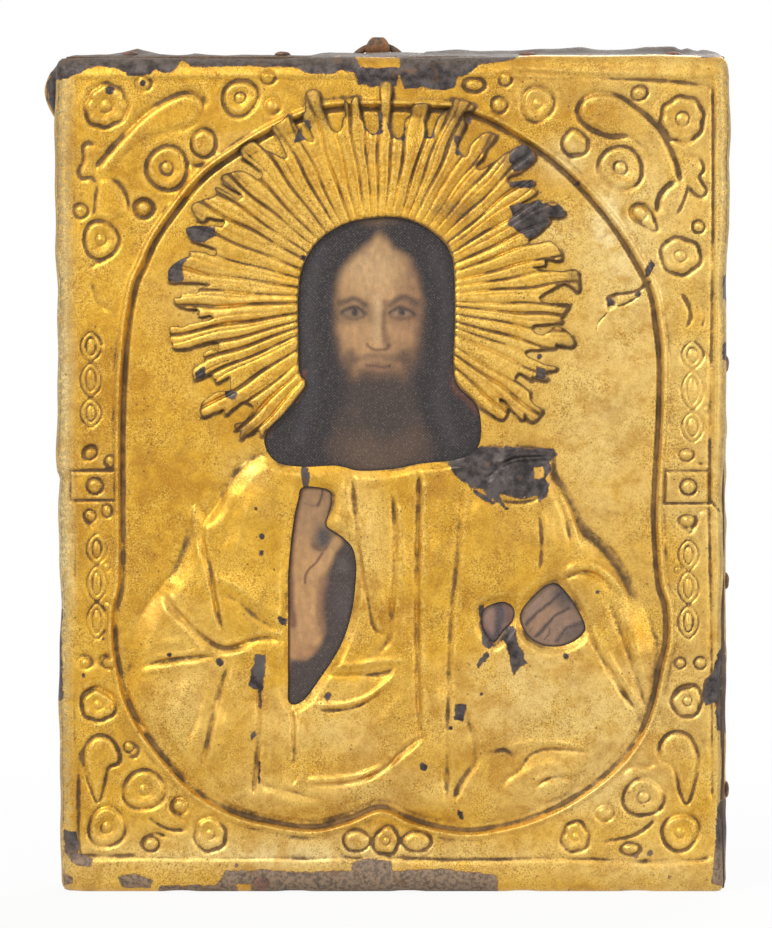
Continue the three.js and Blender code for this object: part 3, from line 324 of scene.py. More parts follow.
# Places where the gilding has gone and the dark tin shows
bare_px = [
    [(50, 54), (120, 55), (190, 56), (189, 64), (183, 60), (179, 64), (175, 72), (165, 74), (156, 71),
     (151, 75), (140, 77), (128, 76), (121, 71), (116, 69), (100, 67), (88, 69), (80, 74), (66, 80),
     (52, 80)],
    [(186, 54), (300, 55), (400, 52), (520, 52), (515, 59), (500, 62), (480, 65), (468, 74), (457, 78),
     (456, 88), (440, 91), (420, 88), (404, 90), (399, 76), (397, 87), (380, 88), (358, 85), (354, 74),
     (345, 71), (330, 75), (305, 74), (295, 68), (250, 67), (190, 67)],
    [(447, 460), (456, 456), (480, 447), (520, 447), (553, 448), (558, 455), (550, 461), (552, 470),
     (546, 478), (549, 485), (547, 496), (540, 502), (525, 507), (512, 509), (505, 510), (500, 504),
     (489, 498), (482, 490), (470, 487), (462, 482), (455, 475), (450, 468)],
    [(256, 653), (265, 655), (266, 668), (264, 684), (262, 694), (262, 709), (259, 708), (258, 690),
     (248, 686), (251, 672)],
    [(258, 760), (261, 762), (261, 785), (258, 784)], [(250, 735), (257, 727), (257, 734), (252, 742)],
    [(500, 626), (508, 622), (516, 630), (517, 641), (523, 652), (526, 663), (519, 667), (514, 676),
     (510, 668), (507, 650), (503, 641), (498, 642), (488, 650), (482, 645), (478, 606), (484, 604),
     (486, 636), (494, 644), (504, 632)],
    [(455, 703), (467, 704), (465, 712), (463, 721), (454, 720)],
    [(487, 651), (489, 656), (482, 665), (475, 671), (478, 660)],
    [(650, 259), (655, 264), (649, 276), (643, 281), (645, 270)],
    [(457, 810), (463, 811), (464, 820), (458, 820)],
    [(728, 638), (716, 655), (712, 672), (703, 680), (701, 700), (706, 706), (714, 702), (716, 730),
     (730, 736)],
    [(730, 800), (717, 804), (714, 850), (711, 884), (730, 888)],
    [(728, 272), (722, 276), (723, 300), (730, 302)], [(728, 340), (722, 343), (722, 360), (730, 362)],
    [(50, 588), (62, 592), (62, 640), (63, 700), (50, 706)],
    [(64, 829), (76, 832), (80, 844), (79, 853), (93, 857), (92, 867), (76, 866), (64, 852)],
    [(118, 876), (135, 873), (153, 880), (150, 889), (122, 888)],
    [(159, 886), (215, 885), (226, 871), (260, 869), (300, 872), (350, 870), (353, 861), (372, 858),
     (391, 861), (393, 871), (440, 868), (470, 872), (497, 874), (499, 900), (156, 900)],
    [(301, 465), (309, 468), (310, 478), (308, 488), (302, 488)],
    [(62, 874), (72, 876), (73, 884), (64, 886)], [(278, 616), (287, 619), (287, 627), (280, 623)],
    [(700, 52), (724, 50), (722, 56), (702, 57)],
    [(470, 486), (490, 499), (498, 502), (492, 506), (474, 494)],
    [(606, 298), (611, 297), (616, 302), (615, 306), (607, 308)],
    [(634, 292), (640, 289), (642, 286), (640, 298), (634, 296)],
]
gilt_islands_px = [
    [(533, 467), (543, 468), (544, 477), (534, 479)],
    [(500, 495), (520, 499), (537, 496), (538, 505), (520, 508), (505, 508)],
    [(356, 57), (400, 57), (399, 67), (384, 68), (360, 67)],
    [(236, 885), (252, 884), (250, 893), (238, 893)],
]
bare_halo_px = [
    [(166, 283), (168, 268), (171, 257), (192, 253), (188, 259), (183, 266), (183, 282)],
    [(184, 235), (186, 225), (200, 224), (214, 227), (216, 236), (205, 243), (191, 243)],
    [(511, 150), (520, 144), (531, 147), (536, 160), (529, 170), (514, 172), (508, 162)],
    [(508, 180), (534, 180), (533, 189), (509, 188)],
    [(508, 206), (525, 203), (540, 198), (549, 205), (564, 204), (565, 218), (551, 219), (546, 227),
     (539, 236), (530, 242), (521, 235), (514, 228), (505, 227), (512, 216)],
    [(300, 120), (312, 121), (309, 140), (294, 143)],
    [(362, 114), (382, 112), (383, 134), (372, 136), (364, 128)],
    [(386, 122), (406, 120), (405, 141), (390, 139)], [(425, 128), (436, 127), (434, 139), (424, 138)],
    [(454, 136), (470, 134), (468, 154), (456, 156)], [(195, 372), (205, 366), (207, 380), (196, 380)],
    [(224, 388), (238, 392), (236, 402), (226, 398)], [(536, 366), (546, 370), (545, 380), (535, 378)],
    [(300, 254), (307, 256), (305, 262), (299, 260)],
]

# Small dark spots: middle and radius
spots_px = [
    ((104, 639), 2), ((84, 675), 2.5), ((650, 853), 3), ((636, 856), 2), ((669, 877), 2.5),
    ((237, 865), 2.5), ((256, 509), 2.2), ((435, 527), 1.8), ((423, 767), 4), ((273, 569), 1.6),
    ((137, 405), 1.4), ((110, 90), 5), ((577, 184), 3.5), ((262, 536), 3), ((261, 554), 3), ((220, 662), 4),
    ((404, 889), 4.5), ((570, 890), 2.2), ((450, 728), 1.6), ((565, 656), 3), ((500, 262), 2),
    ((297, 210), 3), ((539, 357), 3), ((597, 592), 2.4), ((481, 694), 1.6), ((170, 655), 2.5),
    ((328, 696), 4), ((476, 163), 3), ((469, 120), 4), ((143, 84), 3),
]

# Soft dark stains: middle, half width, half height, lean, strength
soiled_px = [
    ((570, 500), 9, 32, 28, 0.2), ((606, 556), 36, 12, -42, 0.24), ((622, 582), 13, 18, 0, 0.18),
    ((475, 682), 10, 24, -10, 0.2), ((504, 755), 24, 6, 0, 0.28), ((594, 791), 28, 8, 32, 0.34),
    ((458, 774), 8, 22, -8, 0.3), ((531, 544), 14, 8, 0, 0.2), ((183, 585), 14, 20, 0, 0.2),
    ((185, 547), 9, 28, -8, 0.25), ((260, 556), 5, 24, 0, 0.25), ((352, 513), 16, 30, 0, 0.16),
    ((173, 607), 9, 9, 0, 0.22), ((289, 719), 7, 22, 0, 0.25), ((343, 697), 16, 6, 0, 0.26),
    ((377, 648), 8, 9, 0, 0.34), ((212, 704), 9, 24, -12, 0.2), ((560, 300), 14, 26, 20, 0.12),
    ((70, 520), 5, 60, 0, 0.3), ((66, 640), 4, 60, 0, 0.3), ((440, 800), 26, 8, 0, 0.22),
    ((245, 500), 8, 26, -18, 0.2), ((130, 180), 22, 12, 30, 0.2), ((110, 150), 44, 70, 0, 0.14),
    ((480, 92), 34, 12, 0, 0.2), ((540, 690), 60, 12, 0, 0.12), ((560, 330), 30, 60, 0, 0.06),
    ((688, 220), 10, 24, 0, 0.22), ((120, 760), 16, 18, 0, 0.24), ((640, 850), 40, 7, 0, 0.25),
    ((300, 150), 26, 10, 20, 0.16), ((715, 620), 5, 60, 0, 0.25),
]

# Places where the gold is paler: middle, half width, half height, strength
pale_px = [
    ((563, 160), 26, 22, 1.0), ((606, 226), 24, 48, 1.0), ((560, 232), 30, 28, 0.8),
    ((625, 270), 60, 130, 0.75), ((600, 430), 60, 110, 0.6), ((700, 350), 30, 300, 0.2),
    ((545, 700), 95, 60, 0.7), ((560, 790), 90, 40, 0.5), ((64, 450), 7, 420, 0.8),
    ((723, 450), 8, 420, 0.5), ((620, 90), 90, 26, 0.3), ((360, 520), 30, 70, 0.35),
    ((180, 700), 40, 60, 0.35), ((390, 790), 200, 22, 0.4), ((340, 855), 280, 20, 0.7),
    ((600, 868), 110, 14, 0.5), ((680, 160), 40, 90, 0.15), ((250, 200), 60, 40, 0.3),
    ((210, 300), 40, 60, 0.3), ((500, 330), 50, 50, 0.4), ((330, 735), 60, 30, 0.4),
    ((240, 470), 30, 20, 0.3), ((110, 850), 50, 24, 0.3),
]

# The torn seam of the field at the right, and a crack through the rim. Each is a line, how deep and wide it
# is, and how dark and wide its dirt is.
cracks_px = [
    ([(652, 281), (646, 284), (639, 290), (628, 293), (617, 294), (606, 298)], 0.7, 0.45, 1.5, 0.4),
    ([(639, 296), (630, 301), (622, 305), (616, 306)], 0.55, 0.4, 1.1, 0.32),
    ([(608, 311), (604, 316), (600, 320), (597, 325), (596, 331)], 0.3, 0.3, 0.9, 0.25),
    ([(709, 499), (713, 504), (718, 510), (726, 512)], 0.5, 0.4, 1.3, 0.32),
]
torn_px = [(606, 297), (617, 296), (616, 306), (607, 311)]

# Folds of the bare shoulder, each with its depth and width
shoulder_folds_px = [
    ([(487, 481), (493, 472), (500, 465), (515, 460), (535, 458), (555, 457)], 0.85, 0.7),
    ([(448, 466), (470, 470), (490, 473), (502, 462), (520, 454), (545, 455)], -0.5, 0.6),
    ([(500, 476), (508, 486), (522, 490), (536, 482)], -0.4, 1.0),
    ([(492, 497), (505, 502), (525, 502), (543, 497)], 0.5, 0.6),
]

halo_centre_px = (377, 300)

# The brown grooves between the halo's rays: degrees anticlockwise from the right, and how deep each one is
halo_grooves = [
    (-46, 0.5), (-41, 0.6), (-35, 1), (-31, 0.4), (-24, 1), (-19.5, 0.5), (-15.4, 1), (-10, 0.5), (-5, 1),
    (-1.5, 0.4), (5, 0.6), (9.5, 0.6), (14, 1), (20, 0.6), (25, 1), (32, 0.6), (39, 1), (44, 0.5), (50, 1),
    (55, 0.5), (60, 0.4), (65, 1), (69.5, 0.5), (74, 1), (80, 0.5), (84.5, 0.6), (89.6, 1), (94, 0.6),
    (98.5, 1), (104, 0.6), (109, 1), (115.6, 0.7), (120, 1), (127, 0.7), (134.5, 1), (140, 0.6), (146, 0.7),
    (151, 1), (158, 1), (164.5, 0.6), (171, 1), (177, 0.6), (182, 1), (189.4, 1), (195, 0.6), (199.2, 1),
    (204, 0.6), (212, 1), (218.5, 0.6), (222.7, 1), (227, 0.6), (231, 0.6),
]

# The notched outline of the halo plate, clockwise from the lower left of the head
halo_px = [
    (305, 396), (288, 411), (270, 427), (265, 430), (262, 436), (257, 430), (251, 434), (245, 436),
    (242, 440), (239, 437), (240, 432), (235, 430), (235, 424), (244, 421), (252, 413), (254, 409),
    (251, 405), (243, 402), (234, 408), (226, 414), (223, 409), (204, 417), (200, 413), (200, 407),
    (204, 401), (214, 393), (222, 391), (230, 390), (230, 381), (229, 377), (217, 383), (210, 374),
    (195, 380), (193, 369), (205, 362), (204, 355), (211, 350), (218, 350), (217, 342), (198, 345),
    (188, 349), (177, 349), (172, 344), (170, 328), (183, 327), (188, 324), (211, 320), (210, 315),
    (199, 317), (198, 310), (185, 308), (177, 304), (174, 299), (181, 298), (182, 294), (198, 293),
    (198, 289), (210, 285), (184, 282), (171, 282), (168, 278), (170, 267), (184, 258), (189, 256),
    (190, 251), (203, 252), (214, 255), (215, 250), (206, 245), (193, 241), (186, 233), (188, 227),
    (209, 226), (222, 226), (223, 220), (207, 218), (205, 222), (198, 221), (192, 209), (196, 203),
    (215, 195), (216, 188), (230, 194), (239, 200), (241, 195), (231, 188), (222, 182), (222, 176),
    (231, 172), (244, 171), (258, 179), (262, 172), (246, 160), (242, 158), (241, 149), (254, 142),
    (268, 151), (284, 158), (285, 153), (274, 131), (273, 126), (282, 121), (289, 114), (291, 118),
    (299, 129), (308, 141), (313, 139), (303, 118), (305, 110), (306, 93), (317, 90), (320, 101),
    (322, 110), (328, 123), (334, 131), (340, 131), (343, 118), (345, 117), (344, 99), (349, 103),
    (357, 97), (360, 112), (365, 126), (373, 134), (379, 130), (378, 118), (380, 88), (382, 83), (391, 83),
    (391, 102), (389, 123), (396, 138), (403, 134), (405, 121), (410, 115), (413, 106), (427, 104),
    (427, 115), (424, 123), (427, 133), (431, 136), (438, 117), (450, 109), (452, 103), (456, 99),
    (472, 104), (472, 110), (464, 113), (465, 126), (457, 144), (461, 153), (466, 156), (472, 144),
    (483, 133), (496, 134), (494, 141), (486, 149), (483, 158), (477, 165), (482, 169), (496, 160),
    (514, 149), (526, 145), (535, 158), (520, 172), (509, 176), (509, 182), (532, 180), (532, 187),
    (536, 193), (525, 201), (514, 206), (528, 203), (539, 199), (542, 204), (553, 202), (564, 212),
    (561, 217), (547, 217), (549, 222), (539, 233), (529, 239), (531, 244), (549, 241), (560, 249),
    (561, 260), (546, 260), (545, 266), (534, 268), (561, 271), (576, 270), (579, 282), (577, 292),
    (563, 284), (539, 297), (549, 303), (568, 303), (568, 309), (560, 319), (561, 323), (534, 325),
    (536, 333), (544, 334), (555, 327), (562, 328), (569, 333), (574, 343), (570, 347), (556, 345),
    (554, 349), (529, 350), (526, 355), (535, 360), (545, 364), (555, 366), (555, 370), (545, 373),
    (547, 380), (541, 380), (532, 377), (531, 380), (520, 373), (515, 378), (520, 383), (529, 391),
    (531, 399), (541, 409), (540, 416), (532, 422), (524, 415), (521, 419), (501, 398), (499, 402),
    (507, 408), (501, 420), (480, 407), (453, 383), (430, 340), (425, 270), (380, 245), (330, 270),
    (320, 350),
]


# Helpers for places, lines and areas on the face

def spot(points):
    """Millimetres on the face for pixels of the front view"""
    p = np.asarray(points, float)
    return np.stack([(p[..., 0] - middle_px) * across_px, (frame_foot_px - p[..., 1]) * up_px], -1)


def smooth_line(points, step, closed=False):
    """A curve through the points, with a place every step millimetres"""
    p = np.asarray(points, float)
    if closed:
        guide = np.vstack([p[-1:], p, p[:2]])
    else:
        guide = np.vstack([2 * p[:1] - p[1:2], p, 2 * p[-1:] - p[-2:-1]])
    stretches = []
    for a, b, c, d in zip(guide, guide[1:], guide[2:], guide[3:]):
        count = max(1, int(np.hypot(*(c - b)) / step))
        t = (np.arange(count) / count)[:, None]
        stretches.append(0.5 * (2 * b + (c - a) * t + (2 * a - 5 * b + 4 * c - d) * t ** 2
                                + (3 * b - 3 * c + d - a) * t ** 3))
    if not closed:
        stretches.append(p[-1:])
    return np.vstack(stretches)


def rise(value, low, high):
    """0 below low, 1 above high, and a soft step between"""
    t = np.clip((value - low) / (high - low), 0, 1)
    return t * t * (3 - 2 * t)


raster_cell = 0.2
raster_left = -95.0
raster_foot = -2.0
raster_columns = 930
raster_rows = 1130
raster_x = raster_left + raster_cell * np.arange(raster_columns)
raster_y = raster_foot + raster_cell * np.arange(raster_rows)


def raster_window(low, high):
    """Rows and columns of the raster between two corners"""
    c0 = max(0, int((low[0] - raster_left) / raster_cell))
    c1 = min(raster_columns, int((high[0] - raster_left) / raster_cell) + 2)
    r0 = max(0, int((low[1] - raster_foot) / raster_cell))
    r1 = min(raster_rows, int((high[1] - raster_foot) / raster_cell) + 2)
    return r0, max(r0, r1), c0, max(c0, c1)


def nearest(line, reach, closed=False):
    """Round a line: the window of the raster, the distance, the side and the way walked along the line"""
    ends = np.roll(line, -1, 0) if closed else line[1:]
    starts = line if closed else line[:-1]
    r0, r1, c0, c1 = raster_window(line.min(0) - reach, line.max(0) + reach)
    distance = np.full((r1 - r0, c1 - c0), float(reach))
    side = np.zeros_like(distance)
    along = np.zeros_like(distance)
    walked = 0.0
    for a, b in zip(starts, ends):
        step = b - a
        length = math.hypot(*step)
        if length < 1e-9:
            continue
        ra, rb, ca, cb = raster_window(np.minimum(a, b) - reach, np.maximum(a, b) + reach)
        x = raster_x[ca:cb][None] - a[0]
        y = raster_y[ra:rb][:, None] - a[1]
        t = np.clip((x * step[0] + y * step[1]) / length ** 2, 0, 1)
        dx = x - t * step[0]
        dy = y - t * step[1]
        d = np.hypot(dx, dy)
        part = (slice(ra - r0, rb - r0), slice(ca - c0, cb - c0))
        closer = d < distance[part]
        distance[part][closer] = d[closer]
        side[part][closer] = (step[0] * dy - step[1] * dx)[closer]
        along[part][closer] = (walked + t * length)[closer]
        walked += length
    return (slice(r0, r1), slice(c0, c1)), distance, np.sign(side), along, walked


def inside(outline):
    """The raster's places inside a closed outline"""
    following = np.roll(outline, -1, 0)
    mask = np.zeros((raster_rows, raster_columns), bool)
    r0, r1, _, _ = raster_window(outline.min(0), outline.max(0))
    for row in range(r0, r1):
        y = raster_y[row]
        hit = (outline[:, 1] <= y) != (following[:, 1] <= y)
        a = outline[hit]
        b = following[hit]
        crossings = np.sort(a[:, 0] + (y - a[:, 1]) * (b[:, 0] - a[:, 0]) / (b[:, 1] - a[:, 1]))
        for left, right in zip(crossings[::2], crossings[1::2]):
            first = math.ceil((left - raster_left) / raster_cell)
            last = math.ceil((right - raster_left) / raster_cell)
            mask[row, max(0, first):max(0, last)] = True
    return mask


def depth_in(points, reach, smooth=True, step=0.8):
    """How far each place of the raster is inside an outline, or outside it below zero, up to reach"""
    outline = spot(points)
    if smooth:
        outline = smooth_line(outline, step, closed=True)
    found = np.full((raster_rows, raster_columns), float(reach))
    window, distance, _, _, _ = nearest(outline, reach, closed=True)
    found[window] = distance
    return np.where(inside(outline), found, -found)


def blurred(values, size):
    """Values of the raster, averaged over about size millimetres"""
    fy = np.fft.fftfreq(raster_rows, raster_cell)[:, None]
    fx = np.fft.rfftfreq(raster_columns, raster_cell)[None]
    kept = np.exp(-2 * (math.pi * size) ** 2 * (fx ** 2 + fy ** 2))
    return np.fft.irfft2(np.fft.rfft2(values) * kept, values.shape)


def mottle(size, seed):
    """Soft random waves of about one size in millimetres, with a spread of 1"""
    soft = blurred(np.random.default_rng(seed).standard_normal((raster_rows, raster_columns)), size)
    return soft / soft.std()


def turned(x, y, lean):
    """Places turned about the middle, for a shape that leans by some degrees"""
    turn = math.radians(lean)
    return x * math.cos(turn) + y * math.sin(turn), -x * math.sin(turn) + y * math.cos(turn)


def read(values, x, y):
    """Values of the raster at places between its own, blended from the four around"""
    column = np.clip((np.asarray(x) - raster_left) / raster_cell, 0, raster_columns - 1.001)
    row = np.clip((np.asarray(y) - raster_foot) / raster_cell, 0, raster_rows - 1.001)
    c = column.astype(int)
    r = row.astype(int)
    s = column - c
    t = row - r
    low = values[r, c] * (1 - s) + values[r, c + 1] * s
    high = values[r + 1, c] * (1 - s) + values[r + 1, c + 1] * s
    return low * (1 - t) + high * t


def table_value(table, places, horizontal=False):
    """An edge's table in pixels as millimetres: across for each height, or up for each place across"""
    marks = np.asarray(table, float)
    if horizontal:
        at = (marks[:, 0] - middle_px) * across_px
        value = (frame_foot_px - marks[:, 1]) * up_px
        return np.interp(places, at, value)
    at = (frame_foot_px - marks[::-1, 0]) * up_px
    value = (marks[::-1, 1] - middle_px) * across_px
    return np.interp(places, at, value)


side_bend = 3.2
end_bend = 5.5
bend_depth = 4.5
bend_start = 0.3


def edge_share(x, y):
    """How far in from the cover's edge a place is: 0 at the edge, 1 where the bend ends"""
    wave = 0.25 * np.sin(x * 0.11 + 1.3) + 0.18 * np.sin(x * 0.31 + 0.4)
    ripple = 0.22 * np.sin(y * 0.13 + 0.7) + 0.16 * np.sin(y * 0.37 + 2.1)
    left = x - (table_value(left_edge_px, y) - ripple * 0.6)
    right = np.minimum(table_value(right_edge_px, y) + 0.6 * ripple, 88.9) - x
    top = table_value(top_edge_px, x, horizontal=True) - y
    foot = y - 0.02 - 0.3 * rise(np.abs(wave), 0.2, 0.5)
    a = np.minimum(left, right) / side_bend
    b = np.minimum(top, foot) / end_bend
    soft = 0.55
    blend = np.clip(0.5 + 0.5 * (b - a) / soft, 0, 1)
    return b + (a - b) * blend - soft * blend * (1 - blend)


def bend_drop(share):
    """How far the bent edge has fallen back at a share of the way in"""
    away = np.clip(1 - share, 0, 1)
    return bend_depth * (1 - np.sqrt(1 - away ** 2))


# The stamped relief of the cover

field_level = 0.8
border_level = 1.6
rim_level = 2.0
robe_level = 2.3
opening_level = 1.15
cover_underside = 0.05
halo_underside = 0.9

# Above the first of these heights the relief is eased off, and rises by no more than the second
cover_crest = (2.95, 0.33)
halo_crest = (3.1, 0.28)
relief_cache = {}


def press(height, points, depth, width, taper=2.5, lean=0.0, uneven=0.0):
    """Press a line into the sheet, or raise it where depth is below zero"""
    line = smooth_line(spot(points), 0.7)
    window, distance, side, along, walked = nearest(line, width * 3.2)
    ends = rise(np.minimum(along, walked - along), -0.3 * taper, taper)
    if uneven:
        shift = points[0][0] * 1.7 + points[0][1]
        wave = 0.5 * np.sin(along * 0.55 + shift) * np.sin(along * 0.23 + 2 * shift)
        ends = ends * (1 - uneven * (0.5 + wave))
    profile = np.exp(-(distance / width) ** 2)
    if lean:
        profile = profile - lean * np.exp(-((distance * side - 1.6 * width) / (1.3 * width)) ** 2)
    height[window] -= depth * profile * ends


def eased(height, level, room):
    """Heights above a level, eased off so that they rise no more than some room above it"""
    return np.where(height > level, level + room * np.tanh((height - level) / room), height)


def swell(height, middle, wide, high, lean, amount):
    """Raise a soft oval"""
    centre = spot(middle)
    u, v = turned(raster_x[None] - centre[0], raster_y[:, None] - centre[1], lean)
    u = u / (wide * across_px)
    v = v / (high * up_px)
    height += amount * np.exp(-(u * u + v * v))


def stamp_flower(height, middle, radius_px, petals):
    """A round flower: a groove round a dish with a soft boss, petalled or plain"""
    centre = spot(middle)
    radius = radius_px * across_px
    r0, r1, c0, c1 = raster_window(centre - radius - 3, centre + radius + 3)
    x = raster_x[c0:c1][None] - centre[0]
    y = raster_y[r0:r1][:, None] - centre[1]
    distance = np.hypot(x, y)
    angle = np.arctan2(y, x)
    seed = int(middle[0] * 7 + middle[1])
    wobble = 0.25 * np.sin(angle * 2 + seed) + 0.18 * np.sin(angle * 3 + seed * 1.7)
    edge = radius - 0.55 + wobble
    if petals:
        edge = edge * (1.0 + 0.028 * np.cos(angle * petals + seed))
    s = distance / edge
    dish = 0.32 * np.exp(-((distance - edge * 0.78) / (0.22 * radius)) ** 2)
    boss = 0.3 * np.exp(-(distance / (0.16 * radius)) ** 2)
    ring = -0.2 * np.exp(-((s - 0.3) / 0.1) ** 2)
    if petals:
        dish = dish * (0.75 + 0.25 * np.cos(angle * petals + seed))
    groove = -0.62 * np.exp(-((distance - edge) / 0.78) ** 2)
    lip = 0.08 * np.exp(-((distance - edge - 1.4) / 0.7) ** 2)
    height[r0:r1, c0:c1] += dish + boss + ring + groove + lip


def stamp_bead(height, middle, wide_px, high_px, lean):
    """A bead or link: a dome with a groove round it"""
    centre = spot(middle)
    wide = max(0.7, wide_px * across_px - 0.4)
    high = max(0.7, high_px * up_px - 0.4)
    reach = max(wide, high) + 3
    r0, r1, c0, c1 = raster_window(centre - reach, centre + reach)
    x = raster_x[c0:c1][None] - centre[0]
    y = raster_y[r0:r1][:, None] - centre[1]
    u, v = turned(x, y, lean)
    s = np.hypot(u / wide, v / high)
    gap = (s - 1) * min(wide, high)
    size = min(1.0, min(wide, high) / 1.6)
    dome = 0.5 * size * np.sqrt(np.clip(1 - (s / 1.02) ** 2, 0, 1))
    groove = -0.5 * size * np.exp(-(gap / 0.62) ** 2)
    height[r0:r1, c0:c1] += dome + groove


def stamp_chain(height, middle, crossings, wide):
    """A chain of two strands that cross, with an eye in each of its links"""
    for top, foot in zip(crossings, crossings[1:]):
        half = (foot - top) / 2
        at = (top + foot) / 2
        for side in (-1, 1):
            bulge = middle + side * (wide + 4.5)
            slope = middle + side * 0.72 * (wide + 4.5)
            strand = [(middle, top), (slope, at - 0.55 * half), (bulge, at), (slope, at + 0.55 * half),
                      (middle, foot)]
            press(height, strand, 0.38, 0.45, taper=0.6)
            inner = [(middle + 0.72 * (x - middle), at + 0.86 * (y - at)) for x, y in strand]
            press(height, inner, -0.22, 0.5, taper=0.6)
        high = half - 6.5
        turns = [math.radians(a) for a in range(0, 361, 30)]
        eye = [(middle + (wide - 0.8) * math.cos(a), at + high * math.sin(a)) for a in turns]
        press(height, eye, 0.4, 0.42, taper=0.01)
        swell(height, (middle, at), 0.5 * wide, 0.55 * high, 0, 0.22)


def robe_work():
    """The robe's folds, swellings and creases"""
    worked = np.zeros((raster_rows, raster_columns))
    for points, depth, width in robe_folds_px:
        lean = 0.45 if depth > 0.38 else 0.0
        press(worked, points, depth * 1.15, width * 0.85, taper=4.0, lean=lean, uneven=0.6)
        press(worked, points, depth * 0.4, width * 2.4, taper=4.0)
    for middle, wide, high, lean, amount in robe_swells_px:
        swell(worked, middle, wide, high, lean, amount)
    return worked + (0.17 * mottle(5.5, 15) + 0.1 * mottle(2.6, 16))


def border_work():
    """The flowers, leaves, beads, chains and lines of the border"""
    ornament = np.zeros((raster_rows, raster_columns))
    for points, amount, groove in leaves_px:
        depth = depth_in(points, 4)
        ornament += amount * rise(depth, -0.1, 1.7) * 0.8 - groove * np.exp(-((depth + 0.15) / 0.6) ** 2)
    for middle, radius, petals in flowers_px:
        stamp_flower(ornament, middle, radius, petals)
    for middle, wide, high, lean in beads_px:
        stamp_bead(ornament, middle, wide, high, lean)
    for chain in chains_px:
        stamp_chain(ornament, *chain)
    for points in plaques_px:
        depth = depth_in(points, 3, smooth=False)
        ornament += 0.15 * rise(depth, 0, 0.6) - 0.45 * np.exp(-((depth + 0.1) / 0.5) ** 2)
    for points, depth, width in border_lines_px:
        press(ornament, points, depth, width * 1.2)
    return ornament


def depth_in_any(outlines, start):
    """How far each place is inside any of some outlines drawn straight from point to point"""
    found = start
    for points in outlines:
        found = np.maximum(found, depth_in(points, 2, smooth=False))
    return found


